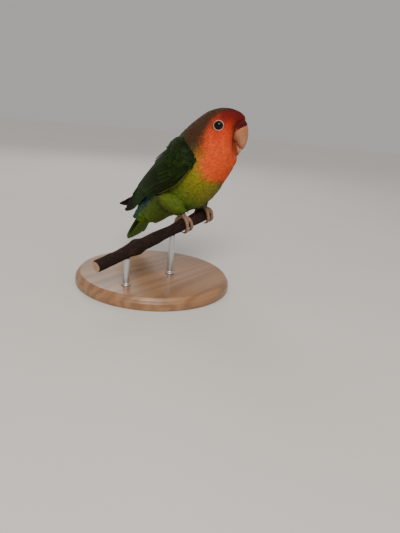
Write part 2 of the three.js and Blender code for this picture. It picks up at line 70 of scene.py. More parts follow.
import bmesh
import bpy
import numpy as np
from mathutils import Matrix, Vector
from mathutils.kdtree import KDTree

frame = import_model()

MM = 0.001
BODY_NAME = next(iter(frame["bodies"]))
SIDES = {"right": -1, "left": 1}

# The bird's own zero in the model, just above the branch between its feet, and the head's turn to its left
BIRD = np.array([12.0, 24.0, 46.0])
HEAD_TURN = np.radians(27)
NECK_X = 4.0
TURN_ROWS = (5.0, 8.6)

# Cross sections from the face to the tail root: top point (x, z), bottom point (x, z), half width,
# how boxy the section is, and how far its sides lie back
BODY = np.array([
    [29.4, 66.2, 25.2, 45.8, 3.8, 0.2, 4.4],
    [28.2, 68.4, 26.2, 42.8, 6.6, 0.2, 4.0],
    [24.8, 70.8, 26.2, 39.6, 9.6, 0.15, 3.0],
    [18.8, 72.3, 25.0, 36.4, 12.2, 0.1, 1.4],
    [12.0, 71.9, 23.6, 33.2, 13.9, 0.05, 0.3],
    [4.5, 68.9, 21.8, 29.6, 15.6, 0, 0],
    [-2.6, 63.2, 19.2, 24.8, 17.4, 0, 0],
    [-9.8, 56.2, 16.2, 19.4, 19.0, 0, 0],
    [-16.8, 48.2, 12.0, 13.8, 19.0, 0, 0],
    [-23.2, 39.6, 6.2, 8.4, 18.4, 0, 0],
    [-29.4, 30.6, -1.6, 4.0, 17.2, 0, 0],
    [-34.8, 21.0, -11.4, -0.4, 15.0, 0, 0],
    [-38.6, 12.0, -21.4, -4.6, 12.0, 0, 0],
    [-41.0, 4.0, -30.6, -10.0, 8.8, 0, 0],
])
BODY_END = len(BODY) - 1.0

# The bill's two halves as cross sections of the same kind
BILL_UPPER = np.array([
    [25.5, 67.6, 19.8, 56.0, 5.1, 0, 0],
    [28.8, 65.6, 22.2, 53.1, 5.3, 0, 0],
    [30.6, 63.0, 24.0, 51.7, 5.0, 0, 0],
    [31.7, 59.6, 25.3, 50.5, 4.3, 0, 0],
    [32.0, 55.8, 26.4, 49.5, 3.4, 0, 0],
    [31.5, 52.2, 27.4, 48.7, 2.4, 0, 0],
    [30.6, 49.6, 28.3, 47.8, 1.3, 0, 0],
    [29.6, 47.6, 29.2, 47.3, 0.4, 0, 0],
])
BILL_LOWER = np.array([
    [19.8, 54.0, 20.0, 46.0, 4.2, 0, 0],
    [22.8, 52.2, 23.4, 44.6, 4.5, 0, 0],
    [25.0, 50.9, 26.0, 44.2, 4.0, 0, 0],
    [26.4, 49.7, 27.5, 44.9, 3.3, 0.2, 0],
    [27.6, 48.7, 28.4, 46.3, 2.3, 0.3, 0],
])

# The feathered chin, which runs from between the cheeks onto the lower bill
CHIN = np.array([
    [18.9, 54.6, 20.5, 41.6, 8.4, 0, 0],
    [21.7, 53.2, 23.6, 42.2, 6.9, 0, 0],
    [24.1, 51.2, 25.8, 43.4, 5.0, 0, 0],
    [25.7, 49.7, 27.2, 44.7, 3.5, 0, 0],
])

# The eye's place in the side view, its radius, and how far it stands out of the head's side
EYE_X, EYE_Z, EYE_RADIUS, EYE_PROUD = 13.9, 61.4, 3.2, 1.5

# The folded wing's outer face: lower edge, middle and upper edge from the wrist to the tip, with y outward
WING_LOW = np.array([
    [11.2, 17.4, 41.5], [8.4, 20.4, 33], [-1, 21.6, 22.5], [-16, 20.8, 12.6],
    [-33, 16.6, 4.2], [-47.4, 11.2, -6.8], [-59, 7, -9.6],
])
WING_MIDDLE = np.array([
    [6.5, 19.2, 47], [1, 21.8, 43.2], [-9, 22, 36], [-22.5, 19, 26.8],
    [-37, 13.2, 15.4], [-49.5, 8.4, 2.4], [-60, 5.2, -5.6],
])
WING_TOP = np.array([
    [0, 16.2, 51], [-8.4, 12.8, 51], [-19.4, 6.4, 46.4], [-32, 2.6, 36.8],
    [-43, 2.4, 24], [-52.4, 2.6, 10.6], [-60.6, 3, -1.8],
])

# How much further each wing's tip reaches than these tables, which way, and how late along the wing
WING_REACH = {"right": 3.0, "left": 19.0}
REACH_WAY = np.array([-0.92, 0, 0.1])
REACH_POWER = 4

# The part of the wing that has flesh in it, and the least distance of a wing from the middle of the bird
WING_CORE_END = 0.52
MIDLINE = 0.4

# The tail from root to tip in the side view, its fall to both sides, and its bow
TAIL_ROOT, TAIL_TIP = np.array([-36.5, 9.0]), np.array([-60.2, -29.4])
TAIL_ARCH, TAIL_BOW = 0.014, 1.6

# The part of the tail that has flesh in it, half its width, and its depth over and under the middle feather
TAIL_CORE_END, TAIL_HALF = 0.5, 9.2
TAIL_OVER_ROOT, TAIL_OVER_TIP = 3, 0.4
TAIL_UNDER_ROOT, TAIL_UNDER_TIP, TAIL_UNDER_POWER = 17, 0.5, 1.2

# The branch: radius, depth of its middle under the bird's zero, and its two ends
BRANCH_RADIUS, BRANCH_DROP, BRANCH_NEAR, BRANCH_FAR = 4.0, 2.8, -84.0, 18.0
BRANCH_HEADING, BRANCH_RISE = np.radians(86), np.radians(13)
KNOT_AT, KNOT_LENGTH, KNOT_HEIGHT = -52.0, 3.5, 0.9

# Slow swellings along the branch: height, radians for each millimetre, and start
BRANCH_SWELLS = ((0.28, 0.11, 0.6), (0.16, 0.31, 0.0))

# Each toe goes round the branch by its bend, forward or back, and aside along the branch as it bends
FOOT_SPREAD, FOOT_MIDDLE = 10.4, 1.5
TOES = {
    "inner_front": {"aside": 1.45, "bend": 2.25, "way": 1},
    "outer_front": {"aside": -1.8, "bend": 2.5, "way": 1},
    "inner_back": {"aside": 1.8, "bend": 2.05, "way": -1},
    "outer_back": {"aside": -2.0, "bend": 2.35, "way": -1},
}

# The thigh's middle line and radius, from the hip to the foot
THIGH = np.array([
    [-19, 11, 14.5, 8.2], [-14, 12.4, 12.8, 8.4], [-9.5, 12.8, 10.2, 8], [-5.6, 12.8, 7.8, 6.9],
    [-2.8, 12.2, 5.8, 5.4], [-0.8, 11.6, 4.6, 3.4],
])

# Where each form lies on the unwrap that the coat's colours are kept on: left, bottom, width and height
UNWRAP = {
    "body": (0.0, 0.0, 0.5, 1.0),
    "wing_right": (0.5, 0.0, 0.25, 0.5),
    "wing_left": (0.75, 0.0, 0.25, 0.5),
    "thigh_right": (0.5, 0.5, 0.15, 0.25),
    "thigh_left": (0.5, 0.75, 0.15, 0.25),
    "bill_upper": (0.65, 0.5, 0.05, 0.25),
    "chin": (0.65, 0.75, 0.05, 0.25),
    "tail": (0.7, 0.5, 0.3, 0.5),
}
PATCH = 0.003


# Settings that a user would change


def size_property(name, description, millimetres):
    return bpy.props.FloatProperty(
        name=name, description=description, default=millimetres * MM, min=0.0,
        subtype="DISTANCE", unit="LENGTH",
    )


def colour_property(name, default):
    return bpy.props.FloatVectorProperty(
        name=name, description="Colour of the " + name.lower(), default=default,
        size=3, min=0.0, max=1.0, subtype="COLOR",
    )


class LOVEBIRD_PG_coat(bpy.types.PropertyGroup):
    """Sizes of the small feathers."""

    face_length: size_property("Face feather", "Length of a feather on the face", 2.5)
    face_spacing: size_property("Face spacing", "Distance between feathers on the face", 0.46)
    body_length: size_property("Body feather", "Length of a feather on the body", 7.0)
    body_spacing: size_property("Body spacing", "Distance between feathers on the body", 1.15)
    face_depth: size_property("Face coat", "Depth of the coat on the face", 0.28)
    body_depth: size_property("Body coat", "Depth of the coat on the body", 0.6)
    thickness: bpy.props.FloatProperty(
        name="Thickness", description="A small feather's thickness as a part of its length",
        default=0.02, min=0.005,
    )
    seed: bpy.props.IntProperty(
        name="Seed", description="Draws the feathers' small differences", default=7, min=0,
    )


class LOVEBIRD_PG_plumage(bpy.types.PropertyGroup):
    """Colours of the feathers."""

    forehead: colour_property("Forehead", (0.145, 0.0055, 0.0045))
    cheek: colour_property("Cheek", (0.52, 0.032, 0.008))
    face: colour_property("Face", (0.66, 0.080, 0.016))
    nape: colour_property("Nape", (0.050, 0.020, 0.0075))
    back: colour_property("Back", (0.024, 0.060, 0.009))
    belly: colour_property("Belly", (0.210, 0.200, 0.014))
    vent: colour_property("Vent", (0.080, 0.138, 0.010))
    rump: colour_property("Rump", (0.010, 0.075, 0.140))
    # The wing's own dark green, made darker still by painted shade over the folded wing
    wing: colour_property("Wing", (0.0068, 0.0118, 0.0024))
    wing_edge: colour_property("Wing edge", (0.130, 0.150, 0.035))
    primary: colour_property("Primaries", (0.009, 0.006, 0.005))
    tail: colour_property("Tail", (0.110, 0.215, 0.026))


class LOVEBIRD_PG_bare(bpy.types.PropertyGroup):
    """Sizes and colours of the bare parts, the branch and the stand."""

    eye_ring: size_property("Eye ring", "Outer radius of the pale ring round the eye", 3.4)
    ring_colour: colour_property("Eye ring", (0.46, 0.25, 0.175))
    iris: colour_property("Iris", (0.012, 0.006, 0.004))
    bill: colour_property("Bill", (0.37, 0.138, 0.064))
    leg: colour_property("Legs", (0.235, 0.138, 0.092))
    claw: colour_property("Claws", (0.035, 0.028, 0.026))
    bark: colour_property("Bark", (0.021, 0.0088, 0.0065))
    wood: colour_property("Stand wood", (0.30, 0.155, 0.072))
    floor: colour_property("Floor", (0.62, 0.61, 0.60))


# Reading the tables


def smoothstep(value, low, high):
    f = np.clip((value - low) / (high - low), 0, 1)
    return f * f * (3 - 2 * f)


def mix(a, b, weight):
    weight = np.asarray(weight)[..., None]
    return np.asarray(a) * (1 - weight) + np.asarray(b) * weight


def read_rows(rows, t):
    """The table's columns at row numbers that may be fractions, on a smooth curve through the rows."""
    t = np.asarray(t, float)
    first = np.clip(np.floor(t).astype(int), 0, len(rows) - 2)
    f = (t - first)[..., None]
    a, b, d, e = (rows[np.clip(first + k, 0, len(rows) - 1)] for k in (-1, 0, 1, 2))
    square = (2 * a - 5 * b + 4 * d - e) * f ** 2
    cube = (3 * b - a - 3 * d + e) * f ** 3
    return 0.5 * (2 * b + (d - a) * f + square + cube)


def grid(a, b):
    """Every number of a with every number of b, as two flat arrays."""
    return (v.ravel() for v in np.meshgrid(a, b, indexing="ij"))


def circle(count):
    """Angles all round a circle."""
    return np.linspace(0, 2 * np.pi, count, endpoint=False)


def unit(vectors):
    return vectors / np.linalg.norm(vectors, axis=-1, keepdims=True)


def turned(x, y, z, weight=1.0):
    """Points of the bird, turned with the head by a weight from 0 to 1."""
    angle = HEAD_TURN * weight
    ahead = x - NECK_X
    return np.stack([
        NECK_X + ahead * np.cos(angle) - y * np.sin(angle),
        ahead * np.sin(angle) + y * np.cos(angle),
        z + 0 * ahead,
    ], axis=-1) + BIRD


def section_point(rows, t, angle, grow, weight):
    """A point round a form at a row t of its cross sections, grown outward and turned with the head."""
    t, angle = np.broadcast_arrays(np.asarray(t, float), np.asarray(angle, float))
    top_x, top_z, low_x, low_z, half, boxy, back = np.moveaxis(read_rows(rows, t), -1, 0)
    height = np.hypot(top_x - low_x, top_z - low_z) / 2
    up_x, up_z = (top_x - low_x) / 2 / height, (top_z - low_z) / 2 / height
    upward, outward = np.cos(angle), np.sin(angle)
    up = (height + grow) * np.sign(upward) * np.abs(upward) ** (1 - boxy)
    out = (half + grow) * np.sign(outward) * np.abs(outward) ** (1 - boxy)
    x = (top_x + low_x) / 2 + up_x * up - back * outward ** 2
    return turned(x, out, (top_z + low_z) / 2 + up_z * up, weight)


def body_point(t, angle, grow=0.0):
    return section_point(BODY, t, angle, grow, 1 - smoothstep(np.asarray(t, float), *TURN_ROWS))


def wing_face(s, q):
    s, q = (v[..., None] for v in np.broadcast_arrays(np.asarray(s, float), np.asarray(q, float)))
    low, middle, top = (
        read_rows(edge, s[..., 0] * (len(edge) - 1)) for edge in (WING_LOW, WING_MIDDLE, WING_TOP)
    )
    return low * (1 - q) * (1 - 2 * q) + middle * 4 * q * (1 - q) + top * q * (2 * q - 1)


def wing_point(side, s, q, lift=0.0):
    """A point over the wing's outer face, at s from wrist to tip and q from the lower to the upper edge."""
    step = 0.01
    along = wing_face(s + step, q) - wing_face(s - step, q)
    across = wing_face(s, q + step) - wing_face(s, q - step)
    out = unit(np.cross(along, across))
    point = wing_face(s, q) + out * np.asarray(lift)[..., None]
    point = point + REACH_WAY * WING_REACH[side] * np.maximum(s, 0)[..., None] ** REACH_POWER
    outward = np.maximum(point[..., 1], MIDLINE)
    return np.stack([point[..., 0], SIDES[side] * outward, point[..., 2]], axis=-1) + BIRD


def wing_span(s):
    edges = [wing_face(s, q) for q in (0, 0.5, 1)]
    return sum(np.linalg.norm(b - a, axis=-1) for a, b in zip(edges, edges[1:]))


def tail_point(f, y, lift):
    """A point at f along the tail, y to the bird's left, and lift over the middle feather."""
    way = TAIL_TIP - TAIL_ROOT
    over = np.array([way[1], -way[0]]) / np.hypot(*way)
    up = lift - TAIL_ARCH * y * y + TAIL_BOW * 4 * f * (1 - f)
    return np.stack([
        TAIL_ROOT[0] + way[0] * f + over[0] * up,
        y + 0 * up,
        TAIL_ROOT[1] + way[1] * f + over[1] * up,
    ], axis=-1) + BIRD


def tail_depths(f):
    """How deep the tail's flesh is over and under the middle feather, at f along the tail."""
    over = TAIL_OVER_ROOT + (TAIL_OVER_TIP - TAIL_OVER_ROOT) * np.sqrt(np.maximum(f, 0))
    under = TAIL_UNDER_TIP + TAIL_UNDER_ROOT * (1 - np.minimum(f, 1)) ** TAIL_UNDER_POWER
    return over, under


def tail_core_point(f, angle, grow=0.0):
    f, angle = np.broadcast_arrays(np.asarray(f, float), np.asarray(angle, float))
    depth = np.where(np.cos(angle) > 0, *tail_depths(f)) + grow
    half = TAIL_HALF - f / TAIL_CORE_END + grow
    return tail_point(f, half * np.sin(angle), depth * np.cos(angle))


BRANCH_AXIS = np.array([
    np.cos(BRANCH_HEADING) * np.cos(BRANCH_RISE),
    np.sin(BRANCH_HEADING) * np.cos(BRANCH_RISE),
    np.sin(BRANCH_RISE),
])
BRANCH_AHEAD = np.array([BRANCH_AXIS[1], -BRANCH_AXIS[0], 0]) / np.hypot(BRANCH_AXIS[0], BRANCH_AXIS[1])
BRANCH_UP = np.cross(BRANCH_AHEAD, BRANCH_AXIS)


def branch_radius(along):
    swell = sum(height * np.sin(along * turns + start) for height, turns, start in BRANCH_SWELLS)
    return BRANCH_RADIUS + swell + KNOT_HEIGHT * np.exp(-(((along - KNOT_AT) / KNOT_LENGTH) ** 2))


def branch_point(along, angle, radius):
    along, angle, radius = (
        v[..., None] for v in np.broadcast_arrays(*(np.asarray(v, float) for v in (along, angle, radius)))
    )
    middle = BIRD + np.array([0, 0, -BRANCH_DROP]) + BRANCH_AXIS * along
    return middle + BRANCH_UP * radius * np.cos(angle) + BRANCH_AHEAD * radius * np.sin(angle)


def thigh_point(side, f, angle, grow=0.0):
    f, angle = np.broadcast_arrays(np.asarray(f, float), np.asarray(angle, float))
    t, step = f * (len(THIGH) - 1), 0.02
    rows = read_rows(THIGH, t)
    mirror = np.array([1, SIDES[side], 1])
    middle = rows[..., :3] * mirror + BIRD
    ahead = unit(read_rows(THIGH, t + step)[..., :3] * mirror + BIRD - middle)
    across = unit(np.cross(ahead, BRANCH_AXIS))
    other = np.cross(ahead, across)
    radius = (rows[..., 3] + grow)[..., None]
    return middle + across * radius * np.cos(angle)[..., None] + other * radius * np.sin(angle)[..., None]


def head_half_width(x, z):
    """The head's half width at a place of its side view."""
    t, angle = grid(np.linspace(0, 5.6, 113), np.linspace(0, np.pi, 181))
    points = section_point(BODY, t, angle, 0, 0) - BIRD
    return points[np.hypot(points[:, 0] - x, points[:, 2] - z).argmin(), 1]


EYE_HALF = head_half_width(EYE_X, EYE_Z)


def eye_middle(side):
    return turned(EYE_X, SIDES[side] * (EYE_HALF - EYE_RADIUS + EYE_PROUD), EYE_Z)


def eye_axis(side):
    """The way out of the head through the eye, of length 1."""
    aside = 20.0
    way = turned(EYE_X, SIDES[side] * aside, EYE_Z) - turned(EYE_X, 0.0, EYE_Z)
    return way / np.linalg.norm(way)


# Meshes


def seeded(number):
    """A row of random numbers of its own for each piece, which the coat's seed redraws."""
    return np.random.default_rng((bpy.context.scene.lovebird_coat.seed, number))


def mesh_object(name, points, faces, materials=()):
    """An object at the origin with its place in its mesh, from points in millimetres."""
    mesh = bpy.data.meshes.new(name)
    mesh.from_pydata((np.asarray(points, float) * MM).tolist(), [], [list(f) for f in faces])
    mesh.shade_smooth()
    for material in materials:
        mesh.materials.append(material)
    made = bpy.data.objects.new(name, mesh)
    bpy.context.scene.collection.objects.link(made)
    return made


def ring_faces(rows, columns):
    """Quads between rings of points, each ring closed."""
    r, c = grid(np.arange(rows - 1), np.arange(columns))
    a = r * columns + c
    b = r * columns + (c + 1) % columns
    return np.stack([a, b, b + columns, a + columns], axis=1)


def loft(rings):
    """Points and faces of a closed form through rings of points."""
    rows, columns = rings.shape[:2]
    points = np.concatenate([rings.reshape(-1, 3), [rings[0].mean(0)], [rings[-1].mean(0)]])
    faces = ring_faces(rows, columns).tolist()
    first, last = rows * columns, rows * columns + 1
    for k in range(columns):
        after = (k + 1) % columns
        faces.append([first, after, k])
        faces.append([last, (rows - 1) * columns + k, (rows - 1) * columns + after])
    return points, faces


def joined(shapes):
    """Several (points, faces) as one."""
    points, faces, start = [], [], 0
    for shape_points, shape_faces in shapes:
        points.append(shape_points)
        faces += [[i + start for i in f] for f in shape_faces]
        start += len(shape_points)
    return np.concatenate(points), faces


def tube(centres, radii, sides, upright):
    """Rings round a line of centres, as points and faces."""
    centres, radii = np.asarray(centres, float), np.asarray(radii, float)
    along = unit(np.gradient(centres, axis=0))
    across = unit(np.cross(along, upright))
    other = np.cross(along, across)
    angle = circle(sides)
    rings = centres[:, None] + radii[:, None, None] * (
        across[:, None] * np.cos(angle)[:, None] + other[:, None] * np.sin(angle)[:, None]
    )
    return loft(rings)


def face_outward(made):
    """Merges doubles and turns every face outward."""
    shape = bmesh.new()
    shape.from_mesh(made.data)
    bmesh.ops.remove_doubles(shape, verts=shape.verts, dist=1e-7)
    bmesh.ops.recalc_face_normals(shape, faces=shape.faces)
    shape.to_mesh(made.data)
    shape.free()
    return made


def closed_object(*form):
    return face_outward(mesh_object(*form))


def vertex_points(made):
    """A mesh's points in millimetres."""
    flat = np.zeros(len(made.data.vertices) * 3)
    made.data.vertices.foreach_get("co", flat)
    return flat.reshape(-1, 3) / MM


def move_vertices(made, points):
    made.data.vertices.foreach_set("co", (points * MM).ravel())
    made.data.update()


def set_attribute(made, name, kind, values):
    field = {"FLOAT": "value", "FLOAT_VECTOR": "vector", "FLOAT_COLOR": "color"}[kind]
    attribute = made.data.attributes.new(name, kind, "POINT")
    attribute.data.foreach_set(field, np.asarray(values, np.float32).ravel())


def set_tint(made, colours):
    opaque = np.concatenate([colours, np.ones((len(colours), 1))], axis=1)
    set_attribute(made, "Tint", "FLOAT_COLOR", opaque)


def set_map(made, name, places):
    """A UV map from one place for each vertex."""
    corner = np.zeros(len(made.data.loops), int)
    made.data.loops.foreach_get("vertex_index", corner)
    layer = made.data.uv_layers.new(name=name)
    layer.data.foreach_set("uv", np.asarray(places, np.float32)[corner].ravel())


def apply_modifiers(made):
    """Replaces an object's mesh by what its modifiers make of it."""
    graph = bpy.context.evaluated_depsgraph_get()
    evaluated = made.evaluated_get(graph)
    mesh = bpy.data.meshes.new_from_object(evaluated, preserve_all_data_layers=True, depsgraph=graph)
    made.modifiers.clear()
    made.data = mesh
    return made


def one_skin(made, voxel, smoothings):
    """Makes one smooth closed skin of an object's forms, from voxels of a size in millimetres."""
    remesh = made.modifiers.new("One skin", "REMESH")
    remesh.mode = "VOXEL"
    remesh.voxel_size = voxel * MM
    remesh.use_smooth_shade = True
    smooth = made.modifiers.new("Smooth", "SMOOTH")
    smooth.iterations = smoothings
    return apply_modifiers(made)


def finish_piece(made, replaced=()):
    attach(made, BODY_NAME)
    if replaced:
        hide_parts(*replaced)


# Small node helpers


def add_node(tree, kind, inputs=None, **settings):
    """A node with its settings, and with each input set to a value or linked to another node's output."""
    node = tree.nodes.new(kind)
    for name, value in settings.items():
        setattr(node, name, value)
    for name, value in (inputs or {}).items():
        if isinstance(value, bpy.types.NodeSocket):
            tree.links.new(value, node.inputs[name])
        else:
            node.inputs[name].default_value = value
    return node


def add_sockets(tree, way, sockets):
    for name, kind, default in sockets:
        socket = tree.interface.new_socket(name, in_out=way, socket_type=kind)
        if default is not None:
            socket.default_value = default


def node_value(tree, kind, inputs=None, **settings):
    """The first output of a new node."""
    return add_node(tree, kind, inputs, **settings).outputs[0]


def math_node(tree, operation, *values):
    return node_value(tree, "ShaderNodeMath", dict(enumerate(values)), operation=operation)


def times(tree, a, b):
    return math_node(tree, "MULTIPLY", a, b)


def plus(tree, a, b):
    return math_node(tree, "ADD", a, b)


def vector_node(tree, operation, *values):
    return node_value(tree, "ShaderNodeVectorMath", dict(enumerate(values)), operation=operation)


# A Mix node's sockets for two colours share their names with those for numbers, so they are found by number
MIX_FACTOR, MIX_FIRST, MIX_SECOND, MIX_RESULT = 0, 6, 7, 2


def blend_colour(tree, factor, a, b):
    inputs = {MIX_FACTOR: factor, MIX_FIRST: a, MIX_SECOND: b}
    return add_node(tree, "ShaderNodeMix", inputs, data_type="RGBA").outputs[MIX_RESULT]


def scale_vector(tree, vector, scale):
    return node_value(tree, "ShaderNodeVectorMath", {0: vector, "Scale": scale}, operation="SCALE")


def stretched(tree, where, scale):
    """Places made longer or shorter along each axis, for long grain."""
    return node_value(tree, "ShaderNodeMapping", {"Vector": where, "Scale": scale})


def spread(tree, value, low, high, to_low=0.0, to_high=1.0):
    inputs = {"Value": value, "From Min": low, "From Max": high, "To Min": to_low, "To Max": to_high}
    return add_node(tree, "ShaderNodeMapRange", inputs).outputs["Result"]


def noise(tree, where, scale, detail=3.0, roughness=0.55):
    inputs = {"Vector": where, "Scale": scale, "Detail": detail, "Roughness": roughness}
    return add_node(tree, "ShaderNodeTexNoise", inputs).outputs["Fac"]


# The range that most of a noise's values lie in
NOISE_RANGE = (0.3, 0.7)


def noise_spread(tree, value, to_low, to_high):
    return spread(tree, value, *NOISE_RANGE, to_low, to_high)


def rgba(colour):
    return (*colour, 1.0)


def toned(colour, factors):
    """A colour made lighter or darker by one factor, or by one for each channel."""
    return rgba(np.minimum(1, np.array(colour) * factors))


# The tree that sets small pieces on a form


def strewn_tree():
    """Sets a piece on each point, its y along "lie" and its z along "out", bent to the form's curve."""
    tree = bpy.data.node_groups.new("Strewn pieces", "GeometryNodeTree")
    add_sockets(tree, "INPUT", [
        ("Roots", "NodeSocketGeometry", None),
        ("Piece", "NodeSocketObject", None),
        ("Width", "NodeSocketFloat", 0.001),
        ("Length", "NodeSocketFloat", 0.001),
        ("Thickness", "NodeSocketFloat", 0.001),
        ("Turn", "NodeSocketFloat", 0.0),
        ("Seed", "NodeSocketInt", 0),
        ("Patch", "NodeSocketFloat", PATCH),
        ("Material", "NodeSocketMaterial", None),
    ])
    add_sockets(tree, "OUTPUT", [("Pieces", "NodeSocketGeometry", None)])
    given = tree.nodes.new("NodeGroupInput").outputs

    def read(name):
        inputs = {"Name": name}
        return node_value(tree, "GeometryNodeInputNamedAttribute", inputs, data_type="FLOAT_VECTOR")

    points = node_value(tree, "GeometryNodeMeshToPoints", {"Mesh": given["Roots"]})
    scale = node_value(
        tree, "ShaderNodeCombineXYZ", {"X": given["Width"], "Y": given["Length"], "Z": given["Thickness"]},
    )
    scale = vector_node(tree, "MULTIPLY", scale, read("size"))
    axes = node_value(
        tree, "FunctionNodeAxesToRotation", {0: read("out"), 1: read("lie")},
        primary_axis="Z", secondary_axis="Y",
    )
    turn = add_node(
        tree, "FunctionNodeRandomValue",
        {2: times(tree, given["Turn"], -1.0), 3: given["Turn"], "Seed": given["Seed"]},
        data_type="FLOAT",
    ).outputs[1]
    yaw = node_value(tree, "FunctionNodeAxisAngleToRotation", {"Axis": (0, 0, 1), "Angle": turn})
    way = node_value(tree, "FunctionNodeRotateRotation", {0: axes, 1: yaw}, rotation_space="LOCAL")
    piece = add_node(tree, "GeometryNodeObjectInfo", {"Object": given["Piece"]}).outputs["Geometry"]
    placed = node_value(tree, "GeometryNodeInstanceOnPoints", {
        "Points": points, "Instance": piece, "Rotation": way, "Scale": scale,
    })
    solid = node_value(tree, "GeometryNodeRealizeInstances", {"Geometry": placed})

    # The form falls away under a piece by half its curvature times the distance squared
    own = vector_node(tree, "MULTIPLY", read("own"), read("span"))
    own = add_node(tree, "ShaderNodeSeparateXYZ", {0: own})
    bend = add_node(tree, "ShaderNodeSeparateXYZ", {0: read("bend")})
    fall = plus(
        tree,
        times(tree, bend.outputs[0], math_node(tree, "POWER", own.outputs[0], 2.0)),
        times(tree, bend.outputs[1], math_node(tree, "POWER", own.outputs[1], 2.0)),
    )
    offset = scale_vector(tree, read("out"), times(tree, fall, -0.5))
    solid = node_value(tree, "GeometryNodeSetPosition", {"Geometry": solid, "Offset": offset})

    patch = scale_vector(tree, read("Vane"), given["Patch"])
    place = vector_node(tree, "ADD", read("place"), patch)
    solid = node_value(
        tree, "GeometryNodeStoreNamedAttribute", {"Geometry": solid, "Name": "OFBake", "Value": place},
        data_type="FLOAT2", domain="CORNER",
    )
    for name in ("size", "out", "lie", "own", "span", "bend", "place"):
        solid = node_value(tree, "GeometryNodeRemoveAttribute", {"Geometry": solid, "Name": name})
    solid = node_value(
        tree, "GeometryNodeSetMaterial", {"Geometry": solid, "Material": given["Material"]},
    )
    finished = tree.nodes.new("NodeGroupOutput")
    tree.links.new(solid, finished.inputs[0])
    return tree


def strew(name, roots, piece, sizes, turn, material):
    """Makes a piece of small forms, one on each root."""
    made = mesh_object(name, roots["point"], [])
    scale = np.asarray(sizes) * MM
    for field in ("size", "out", "lie"):
        set_attribute(made, field, "FLOAT_VECTOR", roots[field])
    set_attribute(made, "span", "FLOAT_VECTOR", roots["size"] * scale)
    set_attribute(made, "bend", "FLOAT_VECTOR", roots["bend"] / MM)
    place = np.concatenate([roots["place"], np.zeros((len(roots["place"]), 1))], axis=1)
    set_attribute(made, "place", "FLOAT_VECTOR", place)
    set_tint(made, roots["tint"])
    tree = bpy.data.node_groups.get("Strewn pieces") or strewn_tree()
    modifier = made.modifiers.new("Strewn pieces", "NODES")
    modifier.node_group = tree
    values = {
        "Piece": piece, "Width": float(scale[0]), "Length": float(scale[1]), "Thickness": float(scale[2]),
        "Turn": turn, "Seed": bpy.context.scene.lovebird_coat.seed, "Material": material,
    }
    for socket in tree.interface.items_tree:
        if socket.in_out == "INPUT" and socket.name in values:
            modifier[socket.identifier] = values[socket.name]
    finish_piece(apply_modifiers(made))


# One small feather of a few dozen faces, y along it from 0 to 1 and x across it
FEATHER_CROWD, FEATHER_RISE, FEATHER_ROUND = 0.65, 0.35, 0.14
FEATHER_UNDER, FEATHER_THINNING, FEATHER_LIP = 0.45, 0.8, 0.03


def feather_piece(name, columns, cup, fringe, widths=(0.16, 0.42, 0.5, 0.47, 0.36, 0.16)):
    """A closed thin vane with half widths along it, sides bent down by cup, and barbs as deep as fringe."""
    rows = len(widths)
    along = np.linspace(0, 1, rows) ** FEATHER_CROWD
    across = np.linspace(-1, 1, columns)
    points, places = [], []
    barbs = fringe * (np.arange(columns) % 2)
    for f, half in zip(along, widths):
        rise = FEATHER_RISE * (1 - across ** 2) - cup * across ** 2
        ends = f - FEATHER_ROUND * f ** 3 * across ** 2 - barbs * (f == 1)
        points += list(zip(across * half, ends, rise))
        places += [((a + 1) / 2, f) for a in across]
        points.append((0, f - FEATHER_LIP, -FEATHER_UNDER * (1 - FEATHER_THINNING * f)))
        places.append((0.5, f))
    columns += 1
    faces = ring_faces(rows, columns).tolist()
    faces.append(list(range(columns))[::-1])
    faces.append([(rows - 1) * columns + k for k in range(columns)])
    made = closed_object(name, np.array(points) / MM, faces)
    set_attribute(made, "own", "FLOAT_VECTOR", points)
    set_map(made, "Vane", places)
    edges, end = {0, columns - 2}, (rows - 1) * columns
    ends = [tuple(e.vertices) for e in made.data.edges]
    sharp = [(a % columns in edges and b % columns in edges) or min(a, b) >= end for a, b in ends]
    made.data.attributes.new("sharp_edge", "BOOLEAN", "EDGE").data.foreach_set("value", sharp)
    return made


def drop_object(made):
    bpy.data.objects.remove(made)


# Roots of the coat

# Curvatures beyond these, for each millimetre, would bend a feather out of the coat
BEND_LIMITS = (-0.02, 0.16)

# How uneven the feathers are in lean and size, and their places within their spacing
UNEVEN = (0.85, 1.15)
JITTER = 0.45

# The steepest lean of a feather, as a sine
STEEPEST_LEAN = 0.6


def surface_roots(surface, a, b, steps, outward=1):
    """Points, outward normals, lie and curvatures of a form at its two numbers."""
    step_a, step_b = steps
    point = surface(a, b)
    ahead, behind = surface(a + step_a, b), surface(a - step_a, b)
    aside, other = surface(a, b + step_b), surface(a, b - step_b)
    lie = ahead - behind
    cross = aside - other
    out = unit(np.cross(cross, lie) * outward)
    length_a, length_b = np.linalg.norm(lie, axis=1) / 2, np.linalg.norm(cross, axis=1) / 2
    bend_a = -np.einsum("ij,ij->i", ahead + behind - 2 * point, out) / length_a ** 2
    bend_b = -np.einsum("ij,ij->i", aside + other - 2 * point, out) / length_b ** 2
    bend = np.clip(np.stack([bend_b, bend_a, 0 * bend_a], axis=1), *BEND_LIMITS)
    return {"point": point, "out": out, "lie": unit(lie), "bend": bend}


